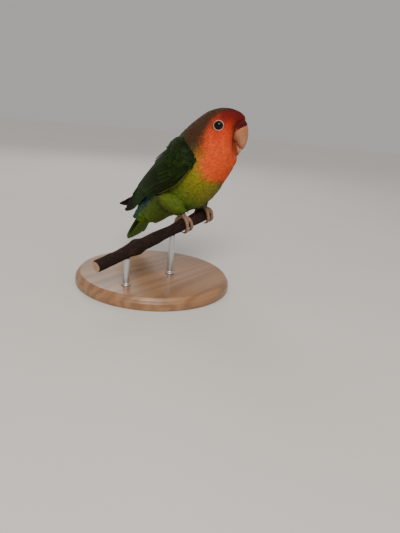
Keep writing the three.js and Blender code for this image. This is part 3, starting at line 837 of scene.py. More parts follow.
def staggered(surface, a_range, b_range, spacing, random):
    """Pairs of numbers for roots in staggered rows, spacing(a) millimetres apart along and across."""
    line, probe = np.linspace(*b_range, 241), 0.01
    found, a, row = [], a_range[0], 0
    while a < a_range[1]:
        ring = surface(np.full_like(line, a), line)
        ahead = surface(np.full_like(line, a + probe), line)
        length = np.concatenate([[0], np.cumsum(np.linalg.norm(np.diff(ring, axis=0), axis=1))])
        apart_along, apart_across = spacing(a)
        count = max(3, int(length[-1] / apart_across))
        at = (np.arange(count) + 0.25 + 0.5 * (row % 2) + random.uniform(-JITTER, JITTER, count)) / count
        step = probe * apart_along / np.linalg.norm(ahead - ring, axis=1).mean()
        b = np.interp(np.clip(at, 0, 1) * length[-1], length, line)
        found.append(np.stack([a + random.uniform(-JITTER, JITTER, count) * step, b], axis=1))
        a += step
        row += 1
    return np.concatenate(found)


def unwrap_place(form, u, v):
    """Where u and v, from 0 to 1 over a form, lie on the unwrap."""
    left, bottom, width, height = UNWRAP[form]
    margin = 2 * PATCH
    across = left + margin + np.clip(u, 0, 1) * (width - 2 * margin)
    upward = bottom + margin + np.clip(v, 0, 1) * (height - 2 * margin)
    return np.stack([across, upward], axis=-1)


def leaned(roots, depth, lengths, random):
    """Sinks roots by the coat's depth and leans them so that their tips come up to its face."""
    lean = np.arcsin(np.clip(depth / lengths, 0, STEEPEST_LEAN)) * random.uniform(*UNEVEN, len(depth))
    lie, out = roots["lie"], roots["out"]
    roots["point"] = roots["point"] - out * depth[:, None]
    roots["lie"] = lie * np.cos(lean)[:, None] + out * np.sin(lean)[:, None]
    roots["out"] = out * np.cos(lean)[:, None] - lie * np.sin(lean)[:, None]
    return roots


def keep(roots, chosen):
    return {field: values[chosen] for field, values in roots.items()}


# Markings

# A feather shows its last third. It lies this many section rows behind its root for each of its millimetres.
SHOWN_END = 0.085

# How far back the head's red and orange reach, from the throat to the crown, by the cosine round the body
FACE_EDGE_COSINE = (-1, -0.9, -0.84, -0.72, -0.54, -0.28, 0.03, 0.24, 0.47, 0.62, 0.81, 0.93, 1)
EDGE_UNEVEN = 0.1
FACE_EDGE_ROW = (5.7, 5.9, 6.3, 6.55, 6.75, 6.8, 6.35, 6.0, 5.5, 4.95, 4.15, 3.4, 2.7)


def body_colours(t, angle, random=None):
    """The plumage's colours. A marking fades in between two cosines round the body and two section rows."""
    colours = bpy.context.scene.lovebird_plumage
    upward = np.cos(angle)
    edge = np.interp(upward, FACE_EDGE_COSINE, FACE_EDGE_ROW)
    row = t if random is None else t + random.normal(0, EDGE_UNEVEN, len(t))
    face = mix(colours.face, colours.cheek, smoothstep(upward, -0.35, 0.45) * (1 - smoothstep(row, 4.4, 5.8)))
    crown = smoothstep(upward, 0.2, 0.75) * (1 - smoothstep(row, 3.4, 4.6))
    front = smoothstep(upward, -0.1, 0.4) * (1 - smoothstep(row, 1.2, 2.6))
    face = mix(face, colours.forehead, np.maximum(crown, front))
    # The top of the crown darker: partly the crown's own darker red-brown, partly painted shade where the top
    # of the head faces away from the light
    face = face * (1 - 0.45 * smoothstep(upward, 0.78, 0.98) * smoothstep(row, 0.6, 2.2))[:, None]
    green = mix(colours.nape, colours.back, smoothstep(row, 6.2, 8.5))
    green = mix(green, colours.belly, smoothstep(-upward, -0.45, 0.35) * smoothstep(row, 5.4, 6.6))
    green = mix(green, colours.vent, smoothstep(row, 7.2, 9.4) * smoothstep(-upward, -0.4, 0.2))
    green = mix(green, colours.rump, smoothstep(row, 9.8, 10.6) * smoothstep(upward, -0.05, 0.4))
    before = 0.5 + 0.5 * smoothstep(upward, -0.6, 0.0)
    return mix(face, green, smoothstep(row, edge - before, edge + 0.5))


def varied(colours, random, amount=0.1):
    """Small differences from feather to feather."""
    bright = 1 + random.normal(0, amount, (len(colours), 1))
    hue = 1 + random.normal(0, amount * 0.35, (len(colours), 3))
    return np.clip(colours * bright * hue, 0, 1)


def dressed_roots(surface, form, ab, steps, unit, depth, lengths, colours, random):
    """Everything that the strewn tree reads for one form's roots."""
    roots = surface_roots(surface, ab[:, 0], ab[:, 1], steps)
    roots = leaned(roots, depth, lengths, random)
    roots["place"] = unwrap_place(form, *unit(ab))
    stretch = random.uniform(0.75, 1.2, (len(ab), 1))
    wide = random.uniform(0.8, 1.2, (len(ab), 1))
    relative = (lengths / lengths.mean())[:, None]
    roots["size"] = np.concatenate([relative * wide, relative * stretch, relative], axis=1)
    roots["tint"] = varied(colours, random)
    return roots


def nearest_tree(samples):
    """The samples, to be searched for the nearest one."""
    tree = KDTree(len(samples))
    for k, sample in enumerate(samples):
        tree.insert(sample, k)
    tree.balance()
    return tree


def wing_tree():
    """The two wings' outer faces, to be searched for the nearest place."""
    s, q = grid(np.linspace(0.0, 0.8, 41), np.linspace(0.04, 0.94, 21))
    return nearest_tree(np.concatenate([wing_point(side, s, q) for side in SIDES]))


def wing_distance(points):
    tree = wing_tree()
    return np.array([tree.find(point)[2] for point in points])


# A point is under a wing if the wing's face is near a place some way over it, and far enough over the point
WING_PROBE, WING_NEAR, WING_OVER = 2.5, 3.2, 0.9


def under_wings(points, outs):
    """Which points lie under a folded wing."""
    tree = wing_tree()
    hidden = np.zeros(len(points), bool)
    for k, (point, out) in enumerate(zip(points, outs)):
        nearest, _, distance = tree.find(point + WING_PROBE * out)
        away = np.array(nearest) - point
        hidden[k] = distance < WING_NEAR and away @ out > WING_OVER
    return hidden


# Materials


def vane_group():
    """A shader group for feathers: shading along the vane, its shaft, and the ridges of its barbs."""
    found = bpy.data.node_groups.get("Vane")
    if found:
        return found
    tree = bpy.data.node_groups.new("Vane", "ShaderNodeTree")
    add_sockets(tree, "INPUT", [
        ("Colour", "NodeSocketColor", (1, 1, 1, 1)),
        ("Root shade", "NodeSocketFloat", 0.5),
        ("Edge light", "NodeSocketFloat", 0.0),
        ("Shaft shade", "NodeSocketFloat", 0.6),
        ("Shaft width", "NodeSocketFloat", 0.03),
        ("Barbs", "NodeSocketFloat", 60.0),
    ])
    add_sockets(tree, "OUTPUT", [("Colour", "NodeSocketColor", None), ("Height", "NodeSocketFloat", None)])
    given = tree.nodes.new("NodeGroupInput").outputs
    where = node_value(tree, "ShaderNodeUVMap", uv_map="Vane")
    split = add_node(tree, "ShaderNodeSeparateXYZ", {0: where})
    across = math_node(tree, "ABSOLUTE", math_node(tree, "SUBTRACT", split.outputs[0], 0.5))
    slanted = plus(tree, split.outputs[1], times(tree, across, -0.55))
    turns = times(tree, given["Barbs"], 2 * np.pi)
    wave = math_node(tree, "SINE", times(tree, slanted, turns))
    ridge = spread(tree, wave, -1.0, 1.0)
    shaft = spread(tree, math_node(tree, "DIVIDE", across, given["Shaft width"]), 0.5, 1.2, 1.0, 0.0)
    along = spread(tree, split.outputs[1], 0.25, 0.85, given["Root shade"], 1.0)
    edge = times(tree, spread(tree, across, 0.3, 0.5), given["Edge light"])
    tip = times(tree, spread(tree, split.outputs[1], 0.82, 1.0), given["Edge light"])
    light = plus(tree, 1.0, math_node(tree, "MAXIMUM", edge, tip))
    barb_shade = spread(tree, ridge, 0.0, 1.0, 0.88, 1.06)
    shaft_shade = math_node(tree, "SUBTRACT", 1.0, times(tree, shaft, given["Shaft shade"]))
    broad_shade = times(tree, along, light)
    shade = times(tree, broad_shade, times(tree, barb_shade, shaft_shade))
    colour = scale_vector(tree, given["Colour"], shade)
    height = plus(tree, ridge, times(tree, shaft, 2.0))
    finished = add_node(tree, "NodeGroupOutput", {"Colour": colour, "Height": height})
    finished.is_active_output = True
    return tree


def new_material(name, **constants):
    """A node material with constants set on its shader's own sockets."""
    material = bpy.data.materials.new(name)
    material.use_nodes = True
    tree = material.node_tree
    shader = tree.nodes["Principled BSDF"]
    for socket, value in constants.items():
        shader.inputs[socket.replace("_", " ")].default_value = value
    return material, tree, shader


def object_place(tree):
    return add_node(tree, "ShaderNodeTexCoord").outputs["Object"]


def feed(tree, shader, colour, roughness=None, height=None, strength=0.4, distance=0.0001):
    """Links a colour, and if given a roughness and a bump's height, to the shader."""
    tree.links.new(colour, shader.inputs["Base Color"])
    if roughness is not None:
        tree.links.new(roughness, shader.inputs["Roughness"])
    if height is not None:
        inputs = {"Strength": strength, "Distance": distance, "Height": height}
        tree.links.new(node_value(tree, "ShaderNodeBump", inputs), shader.inputs["Normal"])


def feather_material(
    name, root_shade, edge_light, shaft_shade, shaft_width, barbs, gloss, sheen=0.0, shine=0.16,
):
    found = bpy.data.materials.get(name)
    if found:
        return found
    material, tree, shader = new_material(
        name, Sheen_Weight=sheen, Sheen_Roughness=0.5, Specular_IOR_Level=shine,
    )
    tint = add_node(tree, "ShaderNodeAttribute", attribute_name="Tint").outputs["Color"]
    mottle = noise(tree, object_place(tree), 420.0, 2.0)
    tint = scale_vector(tree, tint, noise_spread(tree, mottle, 0.86, 1.12))
    vane = add_node(tree, "ShaderNodeGroup", node_tree=vane_group())
    values = {
        "Root shade": root_shade, "Edge light": edge_light, "Shaft shade": shaft_shade,
        "Shaft width": shaft_width, "Barbs": barbs,
    }
    for socket, value in values.items():
        vane.inputs[socket].default_value = value
    tree.links.new(tint, vane.inputs["Colour"])
    rough = noise_spread(tree, mottle, gloss - 0.06, gloss + 0.08)
    feed(tree, shader, vane.outputs["Colour"], rough, vane.outputs["Height"], 0.35, 0.00006)
    return material


def skin_material():
    material, tree, shader = new_material("Skin", Specular_IOR_Level=0.3)
    tint = add_node(tree, "ShaderNodeAttribute", attribute_name="Tint").outputs["Color"]
    grain = noise(tree, object_place(tree), 900.0, 4.0)
    colour = scale_vector(tree, tint, noise_spread(tree, grain, 0.45, 0.75))
    feed(tree, shader, colour, noise_spread(tree, grain, 0.7, 0.9), grain, 0.5, 0.0002)
    return material


def bill_material(colour):
    material, tree, shader = new_material(
        "Horn of the bill", Coat_Weight=0.25, Coat_Roughness=0.25, Specular_IOR_Level=0.45,
        Subsurface_Weight=0.12, Subsurface_Scale=0.002, Subsurface_Radius=(1.0, 0.45, 0.3),
    )
    where = object_place(tree)
    streak = noise(tree, stretched(tree, where, (900.0, 900.0, 160.0)), 1.0, 3.0)
    cloud = noise(tree, where, 260.0, 3.0)
    dark = toned(colour, (0.86, 0.76, 0.68))
    base = blend_colour(tree, spread(tree, streak, 0.35, 0.7), rgba(colour), dark)
    # Paler clouds over the horn at random places: painted highlights
    base = blend_colour(tree, spread(tree, cloud, 0.4, 0.8, 0.0, 0.3), base, rgba((0.54, 0.30, 0.19)))
    height = plus(tree, streak, times(tree, cloud, 0.5))
    feed(tree, shader, base, noise_spread(tree, cloud, 0.34, 0.5), height, 0.25, 0.0001)
    return material


def scale_group():
    """A shader group for scaled skin: darker seams between small raised scales."""
    found = bpy.data.node_groups.get("Scaled skin")
    if found:
        return found
    tree = bpy.data.node_groups.new("Scaled skin", "ShaderNodeTree")
    add_sockets(tree, "INPUT", [
        ("Colour", "NodeSocketColor", (1, 1, 1, 1)),
        ("Seam colour", "NodeSocketColor", (0, 0, 0, 1)),
        ("Scales", "NodeSocketFloat", 1500.0),
    ])
    add_sockets(tree, "OUTPUT", [("Colour", "NodeSocketColor", None), ("Height", "NodeSocketFloat", None)])
    given = tree.nodes.new("NodeGroupInput").outputs
    where = object_place(tree)
    cells = add_node(
        tree, "ShaderNodeTexVoronoi", {"Vector": where, "Scale": given["Scales"]}, feature="DISTANCE_TO_EDGE",
    ).outputs["Distance"]
    raised = spread(tree, cells, 0.0, 0.22)
    patch = noise(tree, where, 300.0)
    colour = blend_colour(tree, raised, given["Seam colour"], given["Colour"])
    colour = scale_vector(tree, colour, noise_spread(tree, patch, 0.8, 1.15))
    add_node(tree, "NodeGroupOutput", {"Colour": colour, "Height": raised})
    return tree


def scaled_material(name, colour, seam, scales, gloss=0.55):
    material, tree, shader = new_material(name, Specular_IOR_Level=0.4)
    skin = add_node(tree, "ShaderNodeGroup", node_tree=scale_group())
    skin.inputs["Colour"].default_value = rgba(colour)
    skin.inputs["Seam colour"].default_value = rgba(seam)
    skin.inputs["Scales"].default_value = scales
    grain = noise(tree, object_place(tree), 1200.0)
    feed(tree, shader, skin.outputs["Colour"], noise_spread(tree, grain, gloss - 0.1, gloss + 0.1),
         skin.outputs["Height"], 0.5, 0.00012)
    return material


def claw_material(colour):
    material, tree, shader = new_material("Claw horn", Coat_Weight=0.4, Coat_Roughness=0.2)
    streak = noise(tree, stretched(tree, object_place(tree), (1.0, 1.0, 0.25)), 2200.0, 3.0)
    base = blend_colour(tree, spread(tree, streak, 0.35, 0.7), rgba(colour), toned(colour, 2.6))
    feed(tree, shader, base, noise_spread(tree, streak, 0.25, 0.45), streak, 0.2, 0.00005)
    return material


def bark_material(colour):
    material, tree, shader = new_material("Bark", Specular_IOR_Level=0.18)
    where = object_place(tree)
    ridges = noise(tree, stretched(tree, where, (1.0, 0.22, 1.0)), 900.0, 6.0, 0.65)
    patches = noise(tree, where, 110.0, 4.0, 0.6)
    specks = noise(tree, where, 2600.0, 2.0)
    base = blend_colour(tree, spread(tree, ridges, 0.38, 0.66), toned(colour, 0.35), rgba(colour))
    pale = toned(colour, (2.0, 1.9, 1.8))
    base = blend_colour(tree, spread(tree, patches, 0.5, 0.68, 0.0, 0.7), base, pale)
    base = blend_colour(tree, spread(tree, specks, 0.66, 0.74, 0.0, 0.5), base, rgba((0.20, 0.15, 0.11)))
    height = plus(tree, ridges, times(tree, patches, 0.6))
    feed(tree, shader, base, noise_spread(tree, patches, 0.68, 0.95), height, 0.9, 0.0005)
    return material


def cut_wood_material():
    material, tree, shader = new_material("Cut end of the branch", Specular_IOR_Level=0.3)
    centre = (BIRD + [0, 0, -BRANCH_DROP]) * MM
    where = vector_node(tree, "SUBTRACT", object_place(tree), tuple(centre))
    along = add_node(
        tree, "ShaderNodeVectorMath", {0: where, 1: tuple(BRANCH_AXIS)}, operation="DOT_PRODUCT",
    ).outputs["Value"]
    axis = scale_vector(tree, tuple(BRANCH_AXIS), along)
    radial = add_node(
        tree, "ShaderNodeVectorMath", {0: where, 1: axis}, operation="DISTANCE",
    ).outputs["Value"]
    uneven = plus(tree, radial, times(tree, noise(tree, where, 300.0), 0.0007))
    rings = math_node(tree, "SINE", times(tree, uneven, 9500.0))
    rings = spread(tree, rings, -1.0, 1.0)
    pith = spread(tree, radial, 0.0002, 0.0006, 1.0, 0.0)
    base = blend_colour(tree, rings, rgba((0.30, 0.19, 0.105)), rgba((0.44, 0.30, 0.18)))
    base = blend_colour(tree, pith, base, rgba((0.10, 0.055, 0.03)))
    base = blend_colour(tree, spread(tree, radial, 0.0032, 0.0038), base, rgba((0.06, 0.032, 0.02)))
    feed(tree, shader, base, spread(tree, rings, 0.0, 1.0, 0.6, 0.8), rings, 0.3, 0.0001)
    return material


def turned_wood_material(colour):
    material, tree, shader = new_material("Turned wood", Coat_Weight=0.35, Coat_Roughness=0.28)
    where = object_place(tree)
    long_grain = stretched(tree, where, (1.0, 0.09, 1.0))
    warp = noise(tree, long_grain, 60.0, 2.0)
    split = add_node(tree, "ShaderNodeSeparateXYZ", {0: where})
    across = times(tree, split.outputs[0], 520.0)
    lines = math_node(tree, "SINE", plus(tree, across, times(tree, warp, 26.0)))
    lines = spread(tree, lines, -1.0, 1.0)
    fibre = noise(tree, long_grain, 2600.0, 5.0, 0.6)
    dark = toned(colour, (0.55, 0.5, 0.45))
    base = blend_colour(tree, times(tree, lines, 0.7), rgba(colour), dark)
    base = blend_colour(tree, spread(tree, fibre, 0.5, 0.72, 0.0, 0.55), base, dark)
    feed(tree, shader, base, noise_spread(tree, fibre, 0.38, 0.52), fibre, 0.15, 0.0001)
    return material


def steel_material():
    material, tree, shader = new_material("Brushed steel", Metallic=1.0, Base_Color=(0.62, 0.63, 0.65, 1))
    lines = noise(tree, stretched(tree, object_place(tree), (1.0, 1.0, 0.02)), 5200.0, 3.0)
    base = blend_colour(tree, lines, rgba((0.50, 0.51, 0.53)), rgba((0.68, 0.69, 0.71)))
    feed(tree, shader, base, noise_spread(tree, lines, 0.24, 0.38), lines, 0.1, 0.00005)
    return material


def eye_material(iris):
    """Pupil, iris and dark rim, by the distance from the eye's own axis, which the attribute Gaze keeps."""
    material, tree, shader = new_material(
        "Eye", Coat_Weight=0.16, Coat_Roughness=0.03, Specular_IOR_Level=0.14,
    )
    gaze = add_node(tree, "ShaderNodeAttribute", attribute_name="Gaze").outputs["Fac"]
    fibres = noise(tree, object_place(tree), 2600.0, 4.0)
    brown = blend_colour(tree, spread(tree, fibres, 0.35, 0.65), toned(iris, 0.45), toned(iris, 1.7))
    base = blend_colour(tree, spread(tree, gaze, 0.5, 0.54), rgba((0.002, 0.002, 0.002)), brown)
    base = blend_colour(tree, spread(tree, gaze, 0.78, 0.9), base, rgba((0.004, 0.003, 0.003)))
    feed(tree, shader, base, noise_spread(tree, fibres, 0.05, 0.09))
    return material


# Pieces: the skin


# How far the skin's forms lie inside the solids besides the coat's depth, and how deep a wing's flesh is
FACE_SINK, MUZZLE_BACK = 0.3, 1.0
CHIN_SINK, CHIN_BACK = 0.7, 0.5
TAIL_SINK = 0.8
WING_SINK, WING_SINK_END, WING_FACES = 0.9, 1.4, 0.9
WING_DEPTH, WING_DEPTH_END = 7, 3


def wing_form(side):
    """The flesh of a folded wing between its outer face and an inner face that bulges away from it."""
    q = np.linspace(0.02, 0.98, 25)
    rings = []
    for s in np.linspace(0.0, WING_CORE_END, 40):
        share = s / WING_CORE_END
        outer = -WING_SINK - WING_SINK_END * share ** 2
        deep = (WING_DEPTH + (WING_DEPTH_END - WING_DEPTH) * share) * np.sqrt(4 * q * (1 - q))
        rings.append(np.concatenate([
            wing_point(side, np.full_like(q, s), q, np.full_like(q, outer)),
            wing_point(side, np.full_like(q, s), q[::-1], outer - WING_FACES - deep),
        ]))
    return loft(np.array(rings))


def skin_forms():
    """The closed forms that the skin is made of, inside the solids by the coat's depth."""
    t = np.linspace(0, BODY_END, 131)[:, None]
    angle = circle(96)[None]
    ahead = turned(1.0, 0.0, 0.0) - turned(0.0, 0.0, 0.0)
    back = MUZZLE_BACK * (1 - smoothstep(t, 1.4, 3.2))[..., None]
    sink = coat_depth(t) + FACE_SINK * (1 - smoothstep(t, 1.8, 3.4))
    forms = [loft(body_point(t, angle, -sink) - back * ahead)]
    chin = section_point(CHIN, np.linspace(0, len(CHIN) - 1, 31)[:, None], angle, -CHIN_SINK, 1.0)
    forms.append(loft(chin - CHIN_BACK * ahead))
    for side in SIDES:
        f = np.linspace(0, 1, 24)[:, None]
        forms.append(loft(thigh_point(side, f, angle, -coat_depth(BODY_END))))
        forms.append(wing_form(side))
    f = np.linspace(0, TAIL_CORE_END, 30)[:, None]
    forms.append(loft(tail_core_point(f, angle, -TAIL_SINK)))
    return forms


def skin_samples():
    """Places of the forms with their colours."""
    plumage = bpy.context.scene.lovebird_plumage
    t, angle = grid(np.linspace(0, BODY_END, 131), np.linspace(0, 2 * np.pi, 96))
    points = [body_point(t, angle, -1.0)]
    colours = [body_colours(t, angle)]
    s, q = grid(np.linspace(0, WING_CORE_END, 30), np.linspace(0, 1, 30))
    f, turn = grid(np.linspace(0, 1, 20), np.linspace(0, 2 * np.pi, 30))
    for side in SIDES:
        points.append(wing_point(side, s, q, -1.2))
        colours.append(np.tile(plumage.wing, (len(s), 1)))
        points.append(thigh_point(side, f, turn, -1.2))
        colours.append(np.tile(plumage.belly, (len(f), 1)))
    points.append(tail_core_point(f * TAIL_CORE_END, turn, -TAIL_SINK))
    colours.append(mix(plumage.vent, plumage.rump, smoothstep(np.cos(turn), 0, 0.5)))
    return np.concatenate(points), np.concatenate(colours)


def about_eye(points, side):
    """How far points lie along one eye's axis, and how far aside from it, in millimetres."""
    axis = eye_axis(side)
    away = points - eye_middle(side)
    reach = away @ axis
    return reach, np.linalg.norm(away - reach[:, None] * axis, axis=1)


# The eye's socket in the skin, and the painted shade on the skin inside the lids: how dark, and between what
# distances from the eye's axis it fades out
SOCKET_DEPTH, SOCKET_FLOOR, SOCKET_RIM, SOCKET_BEHIND = 3.0, 2.8, 3.9, -1.5
SOCKET_SHADE, SOCKET_SHADE_EDGE = 0.06, (3.1, 3.5)


def hollow_sockets(points):
    """Sinks the skin behind each eye, so that only the eyeball shows inside its lids."""
    for side in SIDES:
        reach, aside = about_eye(points, side)
        depth = SOCKET_DEPTH * (1 - smoothstep(aside, SOCKET_FLOOR, SOCKET_RIM)) * (reach > SOCKET_BEHIND)
        points = points - eye_axis(side) * depth[:, None]
    return points


def make_skin():
    made = closed_object("skin", *joined(skin_forms()))
    one_skin(made, 0.65, 3)
    made.data.materials.clear()
    made.data.materials.append(skin_material())
    samples, colours = skin_samples()
    tree = nearest_tree(samples)
    points = vertex_points(made)
    nearest = [tree.find(point)[1] for point in points]
    # The skin inside the lids is darkened: painted shade in the recess between the eyeball and its lids
    lit = smoothstep(eye_distance(points), *SOCKET_SHADE_EDGE)[:, None]
    gape = gape_shade(points, 0.8, 2.4, 0.12)
    set_tint(made, colours[nearest] * gape * (SOCKET_SHADE + (1 - SOCKET_SHADE) * lit))
    move_vertices(made, hollow_sockets(points))
    finish_piece(made, (
        "head", "neck", "torso", "thigh_right", "thigh_left", "wing_right", "wing_left", "tail",
    ))
    return made


class LOVEBIRD_OT_skin(bpy.types.Operator):
    """Build the one skin under the coat."""

    bl_idname = "lovebird.skin"
    bl_label = "Skin"

    def execute(self, context):
        make_skin()
        return {"FINISHED"}


# Pieces: the small feathers


def eye_distance(points):
    """The distance of points from the nearer eye's axis, in millimetres."""
    found = np.full(len(points), 1e3)
    for side in SIDES:
        reach, aside = about_eye(points, side)
        found = np.where(reach > -3, np.minimum(found, aside), found)
    return found


def bill_inside(points):
    """Which points lie in the root of the bill, a little inside the horn and the chin."""
    hidden = np.zeros(len(points), bool)
    root_part, inside = 0.6, 0.96
    for rows in (BILL_UPPER, CHIN):
        for row in np.linspace(0, (len(rows) - 1) * root_part, 16):
            ring = section_point(rows, np.full(24, row), np.linspace(0, 2 * np.pi, 24), 0, 1)
            middle = ring.mean(0)
            radius = np.linalg.norm(ring - middle, axis=1).min()
            hidden |= np.linalg.norm(points - middle, axis=1) < radius * inside
    return hidden


def coat_grading(t):
    """The coat's spacing and feather length at section rows, finest round the bill."""
    coat = bpy.context.scene.lovebird_coat
    near, far = 0.66 + 0.34 * smoothstep(t, 0.5, 3.5), smoothstep(t, 4.4, 8.4)
    spacing = coat.face_spacing * near + (coat.body_spacing - coat.face_spacing) * far
    length = coat.face_length * near + (coat.body_length - coat.face_length) * far
    return spacing / MM, length / MM


# A small feather's width as a part of its length, and how far it may turn to either side
COAT_WIDTH, COAT_TURN = 0.4, 0.24

# A feather is cut back by a little more than it would reach over the eye's ring, and left out if too short
RING_MARGIN, RING_CLEAR, RING_SHORTEST = 1.2, 0.05, 0.3


def clear_eye_ring(roots, lengths):
    """Shortens the feathers that would reach over the eye's ring, and tells which of them stay."""
    points, ring = roots["point"], bpy.context.scene.lovebird_bare.eye_ring / MM
    near = eye_distance(points)
    inward = np.maximum(near - eye_distance(points + roots["lie"] * lengths[:, None]), 0.01)
    shorter = np.clip((near - ring) / (RING_MARGIN * inward), 0, 1)
    roots["size"][:, 1] *= shorter
    return (near > ring - RING_CLEAR) & (shorter > RING_SHORTEST)


def body_coat(stretch, piece, material):
    """Small feathers on a stretch of the body between two section rows."""
    name, first, last, slot = stretch
    coat = bpy.context.scene.lovebird_coat
    random = seeded(int(first * 10))
    ab = staggered(body_point, (first, last), (0, 2 * np.pi), lambda t: (coat_grading(t)[0],) * 2, random)
    lengths = coat_grading(ab[:, 0])[1]
    depth = coat_depth(ab[:, 0])
    colours = body_colours(ab[:, 0] + SHOWN_END * lengths, ab[:, 1], random)
    roots = dressed_roots(
        body_point, "body", ab, (0.05, 0.03), lambda v: (v[:, 1] / (2 * np.pi), v[:, 0] / BODY_END),
        depth, lengths, colours, random,
    )
    points = roots["point"]
    roots["tint"] *= gape_shade(points)
    clear = clear_eye_ring(roots, lengths) & ~bill_inside(points)
    roots = keep(roots, clear & ~under_wings(points, roots["out"]))
    mean = lengths.mean()
    sizes = (COAT_WIDTH * mean, mean, coat.thickness * mean)
    strew(name, roots, piece, sizes, COAT_TURN, material)


def coat_depth(t):
    """How far the skin lies under the coat's face, in millimetres."""
    coat = bpy.context.scene.lovebird_coat
    return (coat.face_depth + (coat.body_depth - coat.face_depth) * smoothstep(t, 4.5, 7.5)) / MM


# The gape's corner on the face before the head's turn, and the upper bill's edge from there to its tip
GAPE_CORNER = (23.6, 8.4, 55.4)
BILL_EDGE_ROWS = np.linspace(0.9, 5.5, 30)
BILL_EDGE_ANGLE = 2.3


def gape_distance(points):
    """How far points lie from the line of the gape, in millimetres."""
    found = np.full(len(points), 1e3)
    for side in SIDES.values():
        edge = section_point(BILL_UPPER, BILL_EDGE_ROWS, side * BILL_EDGE_ANGLE, 0, 1.0)
        corner = turned(GAPE_CORNER[0], side * GAPE_CORNER[1], GAPE_CORNER[2])
        line = np.concatenate([corner + (edge[0] - corner) * np.linspace(0, 1, 12)[:, None], edge])
        for place in line:
            found = np.minimum(found, np.linalg.norm(points - place, axis=1))
    return found


def gape_shade(points, near=0.1, far=1.0, dark=0.25):
    """Darkens what lies close to the gape."""
    return (dark + (1 - dark) * smoothstep(gape_distance(points), near, far))[:, None]


# Stretches of the coat: name, first and last section row, and which feathers they take
FACE_STRETCHES = (
    ("coat_face", 0.05, 1.9, "face_feathers"),
    ("coat_cheeks", 1.9, 3.3, "face_feathers"),
    ("coat_crown", 3.3, 4.6, "face_feathers"),
)
BODY_STRETCHES = (
    ("coat_neck", 4.6, 5.7, "neck_feathers"),
    ("coat_breast", 5.7, 7.4, "neck_feathers"),
    ("coat_back", 7.4, 9.6, "body_feathers"),
    ("coat_vent", 9.6, 12.8, "body_feathers"),
)


class LOVEBIRD_OT_face_coat(bpy.types.Operator):
    """Build the short feathers of the face, crown and throat."""

    bl_idname = "lovebird.face_coat"
    bl_label = "Face feathers"

    def execute(self, context):
        piece = feather_piece("face_feather", 3, 0.2, -0.04, widths=(0.3, 0.5, 0.4, 0.12))
        material = feather_material("Face feathers", 0.8, 0.05, 0.08, 0.04, 9.0, gloss=0.74, sheen=0.04)
        for stretch in FACE_STRETCHES:
            body_coat(stretch, piece, material)
        bill_coat(piece, material)
        drop_object(piece)
        return {"FINISHED"}


# The coats over the root of the upper bill and over the chin: rows, lift over the form, spacing, feather
# length, depth, and how wide a feather is against one on the face
BILL_COATS = (
    {"form": "bill_upper", "rows": BILL_UPPER, "first": 0.02, "last": 2.1, "lift": 0.14,
     "spacing": (0.36, 0.34), "length": 1.4, "depth": 0.14, "wide": 0.72},
    {"form": "chin", "rows": CHIN, "first": 0.0, "last": 3.0, "lift": 0.0,
     "spacing": (0.36, 0.38), "length": 1.7, "depth": 0.24, "wide": 1.0},
)
BILL_FEATHER = 1.5


def bill_coat(piece, material):
    """The short feathers over the root of the upper bill and over the chin."""
    plumage = bpy.context.scene.lovebird_plumage
    random = seeded(8)
    parts = []
    for part in BILL_COATS:
        upper = part["form"] == "bill_upper"

        def surface(row, angle):
            return section_point(part["rows"], row, angle, part["lift"], 1.0)

        ab = staggered(
            surface, (part["first"], part["last"]), (0, 2 * np.pi), lambda a: part["spacing"], random,
        )
        upward = np.cos(ab[:, 1])
        if upper:
            chosen = ab[:, 0] < 0.9 + np.where(upward > 0, 1.2, 0.6) * upward
            ab, upward = ab[chosen], upward[chosen]
        shape = surface_roots(surface, ab[:, 0], ab[:, 1], (0.02, 0.03))
        shape["lie"] = -shape["lie"]
        lengths = np.full(len(ab), part["length"])
        shape = leaned(shape, np.full(len(ab), part["depth"]), lengths, random)
        shape["place"] = unwrap_place(part["form"], ab[:, 1] / (2 * np.pi), ab[:, 0] / part["last"])
        relative = lengths[:, None] / BILL_FEATHER * [part["wide"], 1, 1]
        shape["size"] = relative * random.uniform(*UNEVEN, (len(ab), 3))
        if upper:
            tint = mix(np.tile(plumage.cheek, (len(ab), 1)), plumage.forehead, smoothstep(upward, -0.2, 0.4))
        else:
            tint = mix(plumage.face, plumage.cheek, 0.3 * smoothstep(upward, 0.0, 0.6))
        shape["tint"] = varied(tint, random) * gape_shade(shape["point"])
        parts.append(shape)
    roots = {field: np.concatenate([shape[field] for shape in parts]) for field in parts[0]}
    strew("coat_bill_root", roots, piece, (0.66, BILL_FEATHER, 0.04), 0.2, material)


# The body feathers' shading: at root, edge and shaft, the shaft's width, the barbs, gloss and sheen
BODY_VANE = (0.82, 0.06, 0.1, 0.03, 14.0, 0.72, 0.04)


class LOVEBIRD_OT_body_coat(bpy.types.Operator):
    """Build the feathers of the neck, breast, back and belly."""

    bl_idname = "lovebird.body_coat"
    bl_label = "Body feathers"

    def execute(self, context):
        fine = feather_piece("neck_feather", 5, 0.2, 0.04, widths=(0.2, 0.47, 0.48, 0.32, 0.12))
        piece = feather_piece("body_feather", 7, 0.25, 0.05)
        material = feather_material("Body feathers", *BODY_VANE)
        for stretch in BODY_STRETCHES:
            body_coat(stretch, fine if stretch[3] == "neck_feathers" else piece, material)
        drop_object(fine)
        drop_object(piece)
        return {"FINISHED"}


# Thigh feathers that come closer than this to a wing's face would poke through it
THIGH_WING_GAP = 2.2


